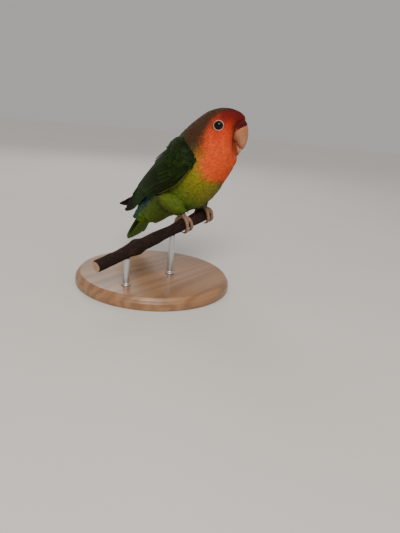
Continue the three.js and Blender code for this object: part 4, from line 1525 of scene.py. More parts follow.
class LOVEBIRD_OT_thigh_coat(bpy.types.Operator):
    """Build the soft feathers of the thighs."""

    bl_idname = "lovebird.thigh_coat"
    bl_label = "Thigh feathers"

    def execute(self, context):
        plumage = context.scene.lovebird_plumage
        piece = feather_piece("thigh_feather", 5, 0.25, 0.04, widths=(0.2, 0.47, 0.48, 0.32, 0.12))
        material = feather_material("Body feathers", *BODY_VANE)
        for side in SIDES:
            random = seeded(2 + SIDES[side])

            def surface(f, angle):
                return thigh_point(side, f, angle, 0.0)

            ab = staggered(surface, (0.02, 0.99), (0, 2 * np.pi), lambda a: (1.05, 1.05), random)
            lengths = 5.2 - 1.4 * ab[:, 0]
            # The thighs are a fifth darker than the belly and vent: painted shade, so that the thigh's bulge
            # does not stand out lighter than the flank
            colours = 0.8 * mix(plumage.belly, plumage.vent, 0.75 + 0.25 * ab[:, 0])
            roots = dressed_roots(
                surface, "thigh_" + side, ab, (0.01, 0.03), lambda v: (v[:, 1] / (2 * np.pi), v[:, 0]),
                np.full(len(ab), coat_depth(BODY_END)), lengths, colours, random,
            )
            tips = roots["point"] + roots["lie"] * lengths[:, None]
            from_wing = np.minimum(wing_distance(roots["point"]), wing_distance(tips))
            roots = keep(roots, from_wing > THIGH_WING_GAP)
            mean = lengths.mean()
            sizes = (COAT_WIDTH * mean, mean, 0.03 * mean)
            strew("coat_thigh_" + side, roots, piece, sizes, 0.2, material)
        drop_object(piece)
        return {"FINISHED"}


# Pieces: the long feathers


# A long feather's width at its root, how fast it opens, its thickness, and the fall to its edges
BLADE_ROOT, BLADE_OPENING = 0.35, 2.2
VANE_THICK, VANE_CAMBER = 0.16, 0.3

# Splits in a long feather's edge: where along it, how deep, how long, and how likely
SPLIT_AT, SPLIT_DEPTH, SPLIT_LENGTH, SPLIT_CHANCE = (0.35, 0.97), (0.1, 0.32), 0.012, 0.8


def blade_width(f, round_tip, shoulder):
    """A long feather's width along it, as a part of its greatest half width."""
    opening = np.minimum(1, BLADE_ROOT + BLADE_OPENING * f)
    fall = np.clip((f - shoulder) / (1 - shoulder), 0, 1)
    return opening * np.sqrt(1 - (1 - round_tip ** 2) * fall ** 2)


def long_vane(place, random, round_tip, shoulder, splits, rows=26, columns=11):
    """One closed feather. place gives its points at f along it, w across it and height over its middle."""
    f = (1 - (1 - np.linspace(0, 1, rows)) ** 1.25)[:, None]
    w = np.linspace(-1, 1, columns)[None]
    edge = np.ones((rows, 1))
    for _ in range(splits):
        at, deep = random.uniform(*SPLIT_AT), random.uniform(*SPLIT_DEPTH)
        edge = edge * (1 - deep * np.exp(-((f - at) / SPLIT_LENGTH) ** 2) * (random.uniform() < SPLIT_CHANCE))
    side = np.where(w > 0, edge, 1 - (1 - edge[::-1]) * 0.5)
    across = w * side * blade_width(f, round_tip, shoulder)
    shaft = 0.22 * np.exp(-((w / 0.1) ** 2)) * (1 - 0.7 * f)
    rise = shaft - VANE_CAMBER * w ** 2
    half = VANE_THICK * (1 - 0.6 * np.abs(w)) * (1 - 0.4 * f) / 2
    top = place(np.broadcast_to(f, across.shape), across, rise + half)
    under = place(np.broadcast_to(f, across.shape), across, rise - half - shaft * 0.5)
    points = np.concatenate([top, under[:, ::-1]], axis=1)
    u = np.concatenate([(w + 1) / 2, (w[:, ::-1] + 1) / 2], axis=1)
    places = np.stack(np.broadcast_arrays(u, np.broadcast_to(f, (rows, 1))), axis=-1)
    shape = loft(points)
    ends = np.array([[0.5, 0.0], [0.5, 1.0]])
    return shape, np.concatenate([places.reshape(-1, 2), ends])


def vane_group_object(name, vanes, material, replaced=()):
    """One piece from many long feathers, each with its own colours and its patch on the unwrap."""
    made = mesh_object(name, *joined([v["shape"] for v in vanes]), [material])
    places = np.concatenate([v["places"] for v in vanes])
    set_map(made, "Vane", places)
    roots = np.concatenate([np.tile(v["root"], (len(v["places"]), 1)) for v in vanes])
    set_map(made, "OFBake", roots + places * PATCH)
    set_tint(made, np.concatenate([v["tint"] for v in vanes]))
    shape = bmesh.new()
    shape.from_mesh(made.data)
    bmesh.ops.recalc_face_normals(shape, faces=shape.faces)
    shape.to_mesh(made.data)
    shape.free()
    finish_piece(made, replaced)
    return made


# The wing's rows of long feathers. root and tip give (s, q) of the lowest and the highest feather, lift is
# the height over the wing's face at root and tip, stack raises each next feather, tilt its lower edge.
WING_FIELDS = ("kind", "count", "half", "lift", "stack", "tilt", "tip_round", "shoulder", "root", "tip")
WING_ROWS = [dict(zip(WING_FIELDS, row)) for row in (
    ("primary", 8, 2.9, (-2.8, -1.6), 0.32, 0.0, 0.16, 0.6,
     (0.42, 0.16, 0.46, 0.58), (1.0, 0.4, 0.84, 0.74)),
    ("secondary", 10, 3.1, (-2.0, 0.2), 0.0, 0.42, 0.3, 0.78,
     (0.26, 0.12, 0.24, 0.84), (0.6, 0.12, 0.76, 0.84)),
    ("primary_covert", 4, 2.0, (-2.0, 0.5), 0.1, 0.4, 0.25, 0.7,
     (0.14, 0.05, 0.16, 0.2), (0.48, 0.05, 0.46, 0.2)),
    ("leading_edge", 3, 1.5, (-1.2, 0.8), 0.15, 0.3, 0.3, 0.7,
     (0.03, 0.05, 0.05, 0.15), (0.38, 0.01, 0.3, 0.13)),
    ("greater_covert", 9, 3.0, (-2.0, 0.7), 0.0, 0.42, 0.35, 0.74,
     (0.12, 0.18, 0.1, 0.86), (0.42, 0.22, 0.5, 0.88)),
    ("median_covert", 10, 2.8, (-2.0, 0.8), 0.0, 0.42, 0.4, 0.7,
     (0.04, 0.13, 0.03, 0.88), (0.29, 0.1, 0.36, 0.9)),
)]


def wing_tint(kind, number, places):
    """A long wing feather's colours: dark inner web, green outer web, and a lighter tip."""
    plumage = bpy.context.scene.lovebird_plumage
    outer = 1 - smoothstep(places[:, 0], 0.2, 0.5)
    if kind == "primary":
        green = (0.35 + 0.45 * outer) * (1 - smoothstep(places[:, 1], 0.6, 0.92))
        return mix(plumage.primary, plumage.back, green)
    if kind in ("primary_covert", "leading_edge"):
        pale = 1.0 if number == 0 else 0.15
        return mix(plumage.wing, plumage.wing_edge, pale * (1 - smoothstep(places[:, 0], 0.02, 0.16)))
    return mix(plumage.wing, plumage.back, 0.35 * outer * places[:, 1])


def wing_vanes(side):
    random = seeded(12 + SIDES[side])
    vanes = []
    for row in WING_ROWS:
        for k in range(row["count"]):
            share = k / (row["count"] - 1)
            root = np.array(row["root"][:2]) * (1 - share) + np.array(row["root"][2:]) * share
            tip = np.array(row["tip"][:2]) * (1 - share) + np.array(row["tip"][2:]) * share
            tip = tip + random.uniform(-0.012, 0.012, 2)
            raised = row["stack"] * k

            def place(f, w, height):
                s = root[0] + (tip[0] - root[0]) * f
                q = root[1] + (tip[1] - root[1]) * f + w * row["half"] / wing_span(np.minimum(s, 1))
                low, high = row["lift"]
                return wing_point(side, s, q, low + (high - low) * f + raised - row["tilt"] * w + height)

            shape, places = long_vane(
                place, random, round_tip=row["tip_round"], shoulder=row["shoulder"],
                splits=3 if row["kind"] in ("primary", "secondary") else 1,
            )
            tint = wing_tint(row["kind"], k, places) * (1 + random.normal(0, 0.12))
            vanes.append({
                "shape": shape, "places": places, "tint": np.clip(tint, 0, 1),
                "root": unwrap_place("wing_" + side, root[1], root[0]),
            })
    return vanes


def shoulder_coat(side, piece, material):
    """The small coverts from the wrist over the shoulder."""
    plumage = bpy.context.scene.lovebird_plumage
    random = seeded(22 + SIDES[side])

    def surface(s, q):
        return wing_point(side, s, q, 0.9)

    ab = staggered(surface, (0.025, 0.27), (0.0, 1.0), lambda a: (1.3, 1.5), random)
    ab = ab[(ab[:, 0] < 0.1) | (ab[:, 1] > 0.13)]
    lengths = 4.2 + 5.0 * np.clip(ab[:, 0], 0, 0.3)
    colours = mix(np.tile(plumage.wing, (len(ab), 1)), plumage.back, 0.4 * random.uniform(0, 1, len(ab)))
    roots = surface_roots(surface, ab[:, 0], ab[:, 1], (0.01, 0.02), outward=-SIDES[side])
    roots = leaned(roots, np.full(len(ab), 0.9), lengths, random)
    roots["place"] = unwrap_place("wing_" + side, ab[:, 1], ab[:, 0])
    relative = (lengths / lengths.mean())[:, None] * random.uniform(*UNEVEN, (len(ab), 1))
    roots["size"] = np.repeat(relative, 3, axis=1)
    roots["tint"] = varied(colours, random)
    mean = lengths.mean()
    sizes = (0.62 * mean, mean, 0.04 * mean)
    strew("coat_shoulder_" + side, roots, piece, sizes, 0.12, material)


class LOVEBIRD_OT_wings(bpy.types.Operator):
    """Build the long feathers of the folded wings and the small coverts over them."""

    bl_idname = "lovebird.wings"
    bl_label = "Wings"

    def execute(self, context):
        material = feather_material("Wing feathers", 0.6, 0.5, 0.5, 0.02, 46.0, gloss=0.54, shine=0.07)
        small = feather_material("Wing coverts", 0.6, 0.6, 0.25, 0.03, 16.0, gloss=0.58, shine=0.07)
        piece = feather_piece("covert", 7, 0.25, 0.02)
        for side in SIDES:
            name = "wing_feathers_" + side
            vane_group_object(name, wing_vanes(side), material, ("wing_" + side,))
            shoulder_coat(side, piece, small)
        drop_object(piece)
        return {"FINISHED"}


# The tail's long feathers: each pair lies further out than the one inside it, lower and shorter
TAIL_PAIRS, TAIL_VANE_HALF, TAIL_SPACING, TAIL_SPACING_TIP = 5, 2.6, 0.9, 1.6
TAIL_START, TAIL_SHORTER, TAIL_SHORTER_POWER = 0.05, 0.018, 1.4
TAIL_STACK, TAIL_TILT = 0.42, 0.4


def tail_vanes():
    """The long feathers of the folded tail, the middle one on top."""
    plumage = bpy.context.scene.lovebird_plumage
    random = seeded(31)
    vanes = []
    for number in range(TAIL_PAIRS + 1):
        for side in ((0,) if number == 0 else (-1, 1)):
            tip = 1 - TAIL_SHORTER * number ** TAIL_SHORTER_POWER

            def place(f, w, height):
                apart = TAIL_SPACING + (TAIL_SPACING_TIP - TAIL_SPACING) * f
                lift = TAIL_TILT * -side * w - TAIL_STACK * number + height
                along = TAIL_START + (tip - TAIL_START) * f
                return tail_point(along, side * number * apart + w * TAIL_VANE_HALF, lift)

            shape, places = long_vane(place, random, round_tip=0.3, shoulder=0.8, splits=3)
            outer = smoothstep(np.abs(places[:, 0] - 0.5), 0.25, 0.5)
            green = np.array(plumage.tail) * (0.7 + 0.1 * number)
            tint = mix(green, plumage.rump, np.maximum(0.3 * outer, 1 - smoothstep(places[:, 1], 0.15, 0.42)))
            tint = mix(tint, (0.02, 0.03, 0.02), 0.3 * smoothstep(places[:, 1], 0.8, 0.95) * (number > 2))
            vanes.append({
                "shape": shape, "places": places, "tint": tint * (1 + random.normal(0, 0.1)),
                "root": unwrap_place("tail", 0.5 + 0.08 * side * number, 0.2),
            })
    return vanes


# Rows of coverts round the tail's root: over or under it, how many, from and to along it, how far they
# spread to each side, and half width
TAIL_COVERTS = (
    (True, 6, 0.05, 0.46, 4.4, 1.7), (True, 7, 0.01, 0.37, 5.2, 1.7), (True, 8, -0.03, 0.28, 5.9, 1.6),
    (True, 9, -0.06, 0.19, 6.6, 1.6),
    (False, 4, 0.28, 0.86, 3.2, 2.2), (False, 5, 0.18, 0.7, 4.6, 2.3), (False, 6, 0.08, 0.52, 5.6, 2.3),
    (False, 6, 0.0, 0.36, 6.2, 2.2),
)


# Rows of coverts over the sides of the tail's root: from and to along it
SIDE_COVERTS = ((0.14, 0.48), (0.08, 0.39), (0.02, 0.3), (-0.04, 0.21))
SIDE_COVERT_ANGLES, SIDE_COVERT_HALF = np.linspace(1.1, 2.35, 7), 0.18


def covert_vane(place, blue, bright, root, random):
    """One covert of the tail's root, between the rump's blue and the vent's green."""
    plumage = bpy.context.scene.lovebird_plumage
    shape, places = long_vane(place, random, rows=16, columns=7, round_tip=0.35, shoulder=0.6, splits=1)
    tint = mix(mix(plumage.vent, plumage.rump, blue), plumage.tail, 0.35 * places[:, 1]) * bright
    return {
        "shape": shape, "places": places, "tint": np.clip(tint * (1 + random.normal(0, 0.07)), 0, 1),
        "root": unwrap_place("tail", *root),
    }


def tail_coverts():
    """The short feathers over, under and beside the tail's root."""
    random = seeded(32)
    vanes = []
    for over, count, start, end, aside, half in TAIL_COVERTS:
        for middle in np.linspace(-aside, aside, count) + random.uniform(-0.3, 0.3, count):
            end_here = end + random.uniform(-0.02, 0.02)

            def place(f, w, height):
                at = start + (end_here - start) * f
                y = middle * (1 - 0.25 * f) + w * half
                beside = np.minimum(0.95, np.abs(y) / TAIL_HALF)
                lift = -0.8 + (3.2 if over else 1.6) * f
                level = tail_depths(at)[0 if over else 1] * np.sqrt(1 - beside ** 2) + lift
                return tail_point(at, y, level + height if over else -level - height)

            root = (0.5 + 0.05 * middle + (0.0 if over else 0.02), 0.5 + 0.4 * start)
            vanes.append(covert_vane(place, 1.0 if over else 0.0, 1.0, root, random))
    for start, end in SIDE_COVERTS:
        for side in SIDES.values():
            for middle in SIDE_COVERT_ANGLES + random.uniform(-0.05, 0.05, len(SIDE_COVERT_ANGLES)):

                def place(f, w, height):
                    angle = side * (middle + w * SIDE_COVERT_HALF)
                    return tail_core_point(start + (end - start) * f, angle, -0.5 + 1.3 * f + height)

                root = (0.5 + side * (0.36 + 0.05 * middle), 0.5 + 0.4 * start)
                under = smoothstep(middle, 1.5, 2.1)
                vanes.append(covert_vane(place, 1 - under, 0.45 + 0.35 * under, root, random))
    return vanes


class LOVEBIRD_OT_tail(bpy.types.Operator):
    """Build the tail's long feathers and the coverts over and under its root."""

    bl_idname = "lovebird.tail"
    bl_label = "Tail"

    def execute(self, context):
        material = feather_material("Tail feathers", 0.7, 0.3, 0.4, 0.02, 50.0, gloss=0.5)
        small = feather_material("Tail coverts", 0.72, 0.12, 0.2, 0.03, 22.0, gloss=0.66)
        vane_group_object("tail_feathers", tail_vanes(), material, ("tail",))
        vane_group_object("tail_coverts", tail_coverts(), small)
        return {"FINISHED"}


# Pieces: the bare parts

# The bill's growth lines, the ridge along its top, and how far the horn lies inside its solid
GROWTH_HEIGHT, RIDGE_HEIGHT, RIDGE_WIDTH, HORN_SINK = 0.05, 0.18, 0.22, 0.12


class LOVEBIRD_OT_bill(bpy.types.Operator):
    """Build the two halves of the bill."""

    bl_idname = "lovebird.bill"
    bl_label = "Bill"

    def execute(self, context):
        bare = context.scene.lovebird_bare
        material = bill_material(bare.bill)
        for name, rows in (("upper", BILL_UPPER), ("lower", BILL_LOWER)):
            t = np.linspace(0, len(rows) - 1, 90)[:, None]
            angle = circle(72)[None]
            growth = GROWTH_HEIGHT * np.sin(t * 9 + 0.6 * np.sin(angle * 2)) * smoothstep(t, 0.6, 1.4)
            from_top = np.angle(np.exp(1j * angle))
            ridge = RIDGE_HEIGHT * np.exp(-((from_top / RIDGE_WIDTH) ** 2)) if name == "upper" else 0.0
            rings = section_point(rows, t, angle, growth + ridge - HORN_SINK, 1.0)
            made = closed_object("bill_" + name + "_horn", *loft(rings), [material])
            finish_piece(made, ("bill_" + name,))
        return {"FINISHED"}


def eye_frame(side):
    """An eye's middle and three ways of length 1: outward, along the head, and up."""
    axis = eye_axis(side)
    across = np.cross(axis, (0, 0, 1))
    across /= np.linalg.norm(across)
    return eye_middle(side), axis, across, np.cross(across, axis)


def about_axis(eye, height, radius, angle, tall=1.0):
    """Points round an eye's axis, with the circle made tall or flat."""
    middle, axis, across, up = eye
    return middle + (
        axis * (height + 0 * angle)[..., None]
        + across * (radius * np.cos(angle))[..., None]
        + up * (radius * np.sin(angle) * tall)[..., None]
    )


def head_height(eye, side, angle, radius):
    """How high the coat's face stands along the eye's axis, at a radius all round it."""
    middle, axis, across, up = eye
    t, turn = grid(np.linspace(2.5, 6, 141), np.linspace(0.3, 2.2, 141))
    away = body_point(t, SIDES[side] * turn) - middle
    tree = nearest_tree(np.stack([away @ across, away @ up, 0 * away[:, 0]], axis=1))
    places = zip(radius * np.cos(angle).ravel(), radius * np.sin(angle).ravel())
    return np.array([away[tree.find((x, y, 0))[1]] @ axis for x, y in places])[:, None]


def make_ball(side, material):
    """The eyeball, with a slight bulge in front of the pupil."""
    eye = eye_frame(side)
    middle, axis = eye[:2]
    polar = np.linspace(0.02, np.pi - 0.02, 48)[:, None]
    angle = circle(64)[None]
    bulge = EYE_RADIUS * (1 + 0.03 * np.exp(-((polar / 0.5) ** 2)))
    rings = about_axis(eye, bulge * np.cos(polar), bulge * np.sin(polar), angle)
    made = closed_object("eye_ball_" + side, *loft(rings), [material])
    gaze = np.linalg.norm(np.cross(vertex_points(made) - middle, axis), axis=1) / EYE_RADIUS
    set_attribute(made, "Gaze", "FLOAT", gaze)
    finish_piece(made, ("eye_" + side,))


# The lids: a folded ring, wider at the eye's two corners, with a hood above
LID_INNER, LID_CORNER, LID_RISE = 2.74, 0.15, 0.42
LID_FOLDS, LID_FOLD_DEPTH, LID_HOOD, LID_TALL = 34, 0.07, 0.25, 0.96


def make_lids(side, material):
    """A ring that hugs the eye and falls away to the skin, with fine radial folds."""
    eye = eye_frame(side)
    outer = bpy.context.scene.lovebird_bare.eye_ring / MM
    section = circle(28)[None]
    angle = circle(144)[:, None]
    inner = LID_INNER + LID_CORNER * np.abs(np.cos(angle)) ** 10
    centre, half = (outer + inner) / 2, (outer - inner) / 2
    folds = 1 + LID_FOLD_DEPTH * np.sin(angle * LID_FOLDS) * np.abs(np.sin(section))
    radial = centre + half * np.cos(section)
    share = (radial - inner) / (outer - inner)
    rise = LID_RISE * folds * np.sin(section) * (1 - 0.3 * np.cos(share * 4 * np.pi)) - 0.1 * share
    rim = EYE_RADIUS * 0.5
    lid = rim + (head_height(eye, side, angle, outer) - rim) * share
    hood = LID_HOOD * smoothstep(np.sin(angle), 0.1, 0.9) * (1 - smoothstep(radial, inner, outer))
    ring = about_axis(eye, lid + rise + hood, radial, angle, LID_TALL)
    rows, columns = ring.shape[:2]
    faces = ring_faces(rows + 1, columns) % (rows * columns)
    made = closed_object("eye_lids_" + side, ring.reshape(-1, 3), faces.tolist(), [material])
    finish_piece(made)


class LOVEBIRD_OT_eyes(bpy.types.Operator):
    """Build the eyes and their lids."""

    bl_idname = "lovebird.eyes"
    bl_label = "Eyes"

    def execute(self, context):
        bare = context.scene.lovebird_bare
        eye = eye_material(bare.iris)
        ring = scaled_material("Eye ring", bare.ring_colour, (0.42, 0.27, 0.215), 3400.0)
        for side in SIDES:
            make_ball(side, eye)
            make_lids(side, ring)
        return {"FINISHED"}


# A toe: it thins out, swells at its joints, and lies pressed a little into the bark
TOE_RADIUS, TOE_THINNER, TOE_JOINT, TOE_JOINTS = 1.45, 0.22, 0.09, 2.1
TOE_START, TOE_ASIDE_END, TOE_LIFT = 0.12, 1.3, 0.92
BARK_GAP = 0.3
TOE_PLATES = 13


def foot_place(side):
    return FOOT_MIDDLE + SIDES[side] * FOOT_SPREAD


def toe_line(side, toe, angle, lift):
    """Points along a toe at an angle round the branch, lifted off the bark."""
    along = foot_place(side) - SIDES[side] * toe["aside"] * np.minimum(angle, TOE_ASIDE_END)
    return branch_point(along, toe["way"] * angle, branch_radius(along) + BARK_GAP + lift)


def toe_radii(f):
    return TOE_RADIUS * (1 - TOE_THINNER * f) * (1 + TOE_JOINT * np.cos(f * 7 * TOE_JOINTS))


def foot_forms(side):
    """The shank and the four toes as closed tubes."""
    place = foot_place(side)
    pad = branch_point(place, 0.0, branch_radius(place) + 1.9)
    knee = pad + np.array([-3.5, SIDES[side] * -0.6, 9])
    f = np.linspace(0, 1, 24)
    line = pad + (knee - pad) * f[:, None]
    forms = [tube(line, np.interp(f, (0, 0.3, 1), (2.15, 1.6, 1.8)), 24, BRANCH_AXIS)]
    for toe in TOES.values():
        f = np.linspace(0, 1, 48)
        radii = toe_radii(f)
        centres = toe_line(side, toe, toe["bend"] * f - TOE_START, radii * TOE_LIFT)
        forms.append(tube(centres, radii, 20, BRANCH_AXIS))
    return forms


def scute_roots(side, bare, random):
    """Roots of the plates along the top of each toe."""
    points, outs, lies, sizes = [], [], [], []
    for toe in TOES.values():
        f = np.linspace(0.06, 0.97, TOE_PLATES)
        radii = toe_radii(f)
        angle = toe["bend"] * f - TOE_START
        middle = toe_line(side, toe, angle, radii * TOE_LIFT)
        crown = toe_line(side, toe, angle, radii * TOE_LIFT + 1)
        out = unit(crown - middle)
        points.append(middle + out * (radii * 0.9)[:, None])
        outs.append(out)
        lies.append(unit(np.gradient(middle, axis=0)))
        sizes.append(np.stack([radii, 0.85 + 0 * f, radii], axis=1))
    points, outs, lies, sizes = (np.concatenate(v) for v in (points, outs, lies, sizes))
    colour = np.tile(bare.leg, (len(points), 1))
    number = np.arange(len(points))
    place = np.stack([number % TOE_PLATES / (TOE_PLATES + 1), number // TOE_PLATES / (len(TOES) + 1)], axis=1)
    return {
        "point": points, "out": outs, "lie": lies, "size": sizes, "bend": np.zeros((len(points), 3)),
        "place": place, "tint": varied(colour, random, 0.08),
    }


def scute_piece():
    """A low curved plate over the top of a toe, one millimetre wide and long."""
    angle = np.linspace(-1.25, 1.25, 9)
    rows = []
    for f, high in ((0.0, 0.86), (0.12, 1.04), (0.75, 1.06), (1.0, 0.9)):
        rows.append(np.stack([high * np.sin(angle), 0 * angle + f - 0.5, high * np.cos(angle) - 0.9], axis=1))
    upper = np.array(rows)
    lower = upper * [0.8, 1, 1] - [0, 0, 0.22]
    rings = np.concatenate([upper, lower[:, ::-1]], axis=1)
    points, faces = loft(rings)
    made = mesh_object("scute", points / MM, faces)
    set_attribute(made, "own", "FLOAT_VECTOR", points)
    set_map(made, "Vane", points[:, :2] * 10)
    return face_outward(made)


class LOVEBIRD_OT_feet(bpy.types.Operator):
    """Build the scaled feet, their plates and the claws."""

    bl_idname = "lovebird.feet"
    bl_label = "Feet"

    def execute(self, context):
        bare = context.scene.lovebird_bare
        skin = scaled_material("Foot skin", bare.leg, toned(bare.leg, 0.35)[:3], 1700.0)
        plate = scaled_material("Toe plates", toned(bare.leg, 1.25)[:3], bare.leg, 900.0, gloss=0.45)
        claw = claw_material(bare.claw)
        random = seeded(33)
        piece = scute_piece()
        for side in SIDES:
            made = closed_object("foot_skin_" + side, *joined(foot_forms(side)), [skin])
            one_skin(made, 0.2, 4)
            finish_piece(made, ("foot_" + side,))
            roots = scute_roots(side, bare, random)
            strew("foot_plates_" + side, roots, piece, (1, 1, 1), 0.0, plate)
            make_claws(side, claw)
        drop_object(piece)
        return {"FINISHED"}


# A claw: how far it goes round the branch, how it arches off the bark, and its radius from root to tip
CLAW_OVERLAP, CLAW_TURN = 0.1, 0.84
CLAW_LIFT, CLAW_RISE, CLAW_FALL = 1.25, 0.35, 0.9
CLAW_ROOT, CLAW_TIP, CLAW_ROUND = 0.95, 0.16, 0.92


def make_claws(side, material):
    for name, toe in TOES.items():
        f = np.linspace(0, 1, 26)
        lift = CLAW_LIFT + CLAW_RISE * f - CLAW_FALL * f * f
        centres = toe_line(side, toe, toe["bend"] - CLAW_OVERLAP + CLAW_TURN * f, lift)
        blunt = np.sqrt(1 - np.clip((f - CLAW_ROUND) / 0.085, 0, 1) ** 2 * 0.9)
        radii = (CLAW_ROOT + (CLAW_TIP - CLAW_ROOT) * f) * blunt
        shape = tube(centres, radii, 18, BRANCH_AXIS)
        made = closed_object(f"claw_horn_{side}_{name}", *shape, [material])
        finish_piece(made, (f"claw_{side}_{name}",))


# Pieces: branch and stand


def waves(along, angle, random, count, lengths):
    """A sum of seeded waves over the branch, closed round it."""
    total = 0
    for _ in range(count):
        turns = random.integers(0, 7)
        total = total + np.sin(
            along * 2 * np.pi / random.uniform(*lengths) + turns * angle + random.uniform(0, 2 * np.pi)
        ) / count ** 0.5
    return total


class LOVEBIRD_OT_branch(bpy.types.Operator):
    """Build the branch with its bark and its two cut ends."""

    bl_idname = "lovebird.branch"
    bl_label = "Branch"

    def execute(self, context):
        bark = bark_material(context.scene.lovebird_bare.bark)
        random = seeded(34)
        sides = 96
        along = np.linspace(BRANCH_NEAR, BRANCH_FAR, 420)[:, None]
        angle = circle(sides)[None]
        broad = 0.10 * waves(along, angle, random, 7, (9, 40))
        cracks = np.clip(waves(along * 0.4, angle * 2, random, 9, (2.2, 7)), -1.6, 0.4) * 0.09
        fine = 0.035 * waves(along, angle * 2, random, 8, (0.9, 2.4))
        gripped = np.exp(-(((along - FOOT_MIDDLE) / 15) ** 4))
        radius = branch_radius(along) - 0.14 + (broad + cracks + fine) * (1 - 0.45 * gripped)
        edge = np.minimum(along - BRANCH_NEAR, BRANCH_FAR - along)
        radius = radius - 0.35 * (1 - smoothstep(edge, 0, 0.5))
        shape = loft(branch_point(along, angle, radius))
        made = mesh_object("branch_bark", *shape, [bark, cut_wood_material()])
        ends = len(made.data.polygons) - 2 * sides
        for face in made.data.polygons[ends:]:
            face.material_index = 1
            face.use_smooth = False
        face_outward(made)
        finish_piece(made, ("branch",))
        return {"FINISHED"}


def lathe(profile, sides, centre):
    """A closed turned form from (radius, height) pairs."""
    profile = np.asarray(profile, float)
    angle = circle(sides)
    rings = np.stack([
        centre[0] + profile[:, :1] * np.cos(angle),
        centre[1] + profile[:, :1] * np.sin(angle),
        profile[:, 1:] + 0 * angle,
    ], axis=-1)
    return loft(rings)


def rounded_profile(corners, radius):
    """A profile with each corner between its ends rounded."""
    corners = np.asarray(corners, float)
    made = [corners[0]]
    for before, corner, after in zip(corners, corners[1:], corners[2:]):
        towards, away = (before - corner), (after - corner)
        near = min(radius, np.linalg.norm(towards) / 2, np.linalg.norm(away) / 2)
        start = corner + towards / np.linalg.norm(towards) * near
        end = corner + away / np.linalg.norm(away) * near
        for f in np.linspace(0, 1, 6):
            made.append(start * (1 - f) ** 2 + corner * 2 * f * (1 - f) + end * f ** 2)
    made.append(corners[-1])
    return made


class LOVEBIRD_OT_stand(bpy.types.Operator):
    """Build the turned base and the two steel rods."""

    bl_idname = "lovebird.stand"
    bl_label = "Display stand"

    def execute(self, context):
        low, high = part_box("stand_base")
        radius, height = (high.x - low.x) / 2 / MM, high.z / MM
        corners = [
            (0.5, 0), (radius - 0.6, 0), (radius, 0.6), (radius, height - 3.2), (radius - 1.0, height - 2.4),
            (radius - 1.0, height - 1.9), (radius - 2.6, height), (0.5, height),
        ]
        wood = turned_wood_material(context.scene.lovebird_bare.wood)
        shape = lathe(rounded_profile(corners, 0.6), 160, (0, 0))
        made = closed_object("stand_base_wood", *shape, [wood])
        finish_piece(made, ("stand_base",))
        steel = steel_material()
        for node in ("stand_rod_near", "stand_rod_far"):
            low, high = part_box(node)
            centre = ((low.x + high.x) / 2 / MM, (low.y + high.y) / 2 / MM)
            thick = (high.x - low.x) / 2 / MM
            foot, top = low.z / MM - 0.25, high.z / MM - 0.2
            collar = thick + 1.1
            corners = [
                (0.2, foot), (collar, foot), (collar, foot + 0.9),
                (thick, foot + 1.7), (thick, top), (0.2, top),
            ]
            shape = lathe(rounded_profile(corners, 0.3), 40, centre)
            made = closed_object(node + "_steel", *shape, [steel])
            finish_piece(made, (node,))
        return {"FINISHED"}


# The stage

# The photo's camera: its place in metres, its two ways across the picture, and its focal length
CAMERA_AT = Vector((0.19938, -0.22952, 0.11125))
CAMERA_RIGHT = Vector((0.79916, 0.59449, 0.08899))
CAMERA_DOWN = Vector((0.25129, -0.19592, -0.94788))
CAMERA_LENS = 31.27


def add_light(name, place, size, power, colour, kind="AREA"):
    """A soft light towards the bird. Its size is the disc's width, or the angle that a sun fills."""
    data = bpy.data.lights.new(name, kind)
    data.energy, data.color = power, colour
    if kind == "SUN":
        data.angle = size
    else:
        data.shape, data.size = "DISK", size
    light = bpy.data.objects.new(name, data)
    light.location = place
    target = Vector(BIRD * MM) + Vector((0, 0, 0.02))
    light.rotation_mode = "QUATERNION"
    light.rotation_quaternion = (target - light.location).to_track_quat("-Z", "Y")
    bpy.context.scene.collection.objects.link(light)


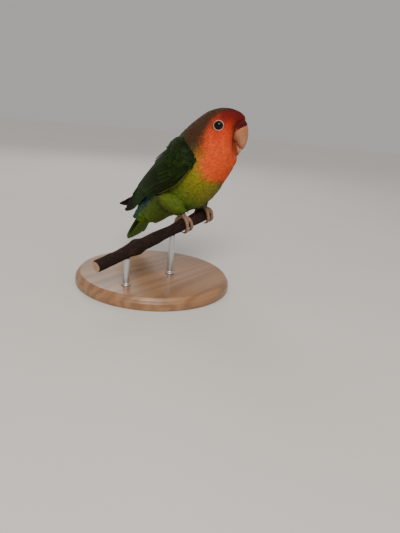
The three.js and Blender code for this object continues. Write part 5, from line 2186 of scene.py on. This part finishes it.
class LOVEBIRD_OT_stage(bpy.types.Operator):
    """Build the floor, the lights and the camera."""

    bl_idname = "lovebird.stage"
    bl_label = "Floor, lights and camera"

    def execute(self, context):
        colour = context.scene.lovebird_bare.floor
        material, tree, shader = new_material("Pale floor", Roughness=0.9)
        grain = noise(tree, object_place(tree), 6.0, 2.0)
        base = blend_colour(tree, spread(tree, grain, *NOISE_RANGE), rgba(colour), toned(colour, 0.97))
        feed(tree, shader, base)
        sides = 96
        angle = circle(sides)
        reach = np.array([20.0, 300.0, 1000.0, 3000.0])[:, None]
        rings = np.stack([reach * np.cos(angle), reach * np.sin(angle), 0 * reach * angle], axis=-1)
        points = rings.reshape(-1, 3)
        faces = ring_faces(len(rings), sides)[:, ::-1].tolist() + [list(range(sides))]
        floor = mesh_object("floor", points, faces, [material])

        world = bpy.data.worlds.new("Soft studio")
        world.use_nodes = True
        world.node_tree.nodes["Background"].inputs["Color"].default_value = (0.80, 0.775, 0.74, 1)
        world.node_tree.nodes["Background"].inputs["Strength"].default_value = 0.55
        context.scene.world = world
        add_light("Soft sun", (0.5, -0.45, 0.8), 0.6, 1.1, (1.0, 0.93, 0.84), kind="SUN")
        add_light("Key light", (0.35, -0.45, 0.5), 0.35, 3.5, (1.0, 0.92, 0.82))
        add_light("Rim light", (-0.55, 0.45, 0.55), 0.35, 1.6, (1.0, 0.95, 0.90))

        data = bpy.data.cameras.new("Camera")
        data.lens, data.sensor_width, data.sensor_fit = CAMERA_LENS, 36.0, "AUTO"
        data.clip_start, data.clip_end = 0.01, 20.0
        camera = bpy.data.objects.new("Camera", data)
        up = -CAMERA_DOWN.normalized()
        right = CAMERA_RIGHT.normalized()
        back = right.cross(up)
        camera.matrix_world = Matrix.Translation(CAMERA_AT) @ Matrix((right, up, back)).transposed().to_4x4()
        context.scene.collection.objects.link(camera)
        context.scene.camera = camera
        return {"FINISHED"}


class LOVEBIRD_PT_panel(bpy.types.Panel):
    """Lists the lovebird's settings and its pieces."""

    bl_idname = "LOVEBIRD_PT_panel"
    bl_label = "Perched lovebird"
    bl_space_type = "VIEW_3D"
    bl_region_type = "UI"
    bl_category = "Lovebird"

    def draw(self, context):
        for key in SETTINGS:
            settings = getattr(context.scene, key)
            box = self.layout.box()
            for name in settings.__annotations__:
                box.prop(settings, name)
        for operator in OPERATORS:
            self.layout.operator(operator.bl_idname)


SETTINGS = {
    "lovebird_coat": LOVEBIRD_PG_coat,
    "lovebird_plumage": LOVEBIRD_PG_plumage,
    "lovebird_bare": LOVEBIRD_PG_bare,
}
OPERATORS = (
    LOVEBIRD_OT_stage,
    LOVEBIRD_OT_skin,
    LOVEBIRD_OT_face_coat,
    LOVEBIRD_OT_body_coat,
    LOVEBIRD_OT_thigh_coat,
    LOVEBIRD_OT_wings,
    LOVEBIRD_OT_tail,
    LOVEBIRD_OT_bill,
    LOVEBIRD_OT_eyes,
    LOVEBIRD_OT_feet,
    LOVEBIRD_OT_branch,
    LOVEBIRD_OT_stand,
)


def register():
    for kind in (*SETTINGS.values(), *OPERATORS, LOVEBIRD_PT_panel):
        bpy.utils.register_class(kind)
    for name, kind in SETTINGS.items():
        setattr(bpy.types.Scene, name, bpy.props.PointerProperty(type=kind))


def unregister():
    for name in SETTINGS:
        delattr(bpy.types.Scene, name)
    for kind in (LOVEBIRD_PT_panel, *reversed(OPERATORS), *SETTINGS.values()):
        bpy.utils.unregister_class(kind)


def main():
    register()
    for operator in OPERATORS:
        group, name = operator.bl_idname.split(".")
        getattr(getattr(bpy.ops, group), name)()


if __name__ == "__main__":
    main()
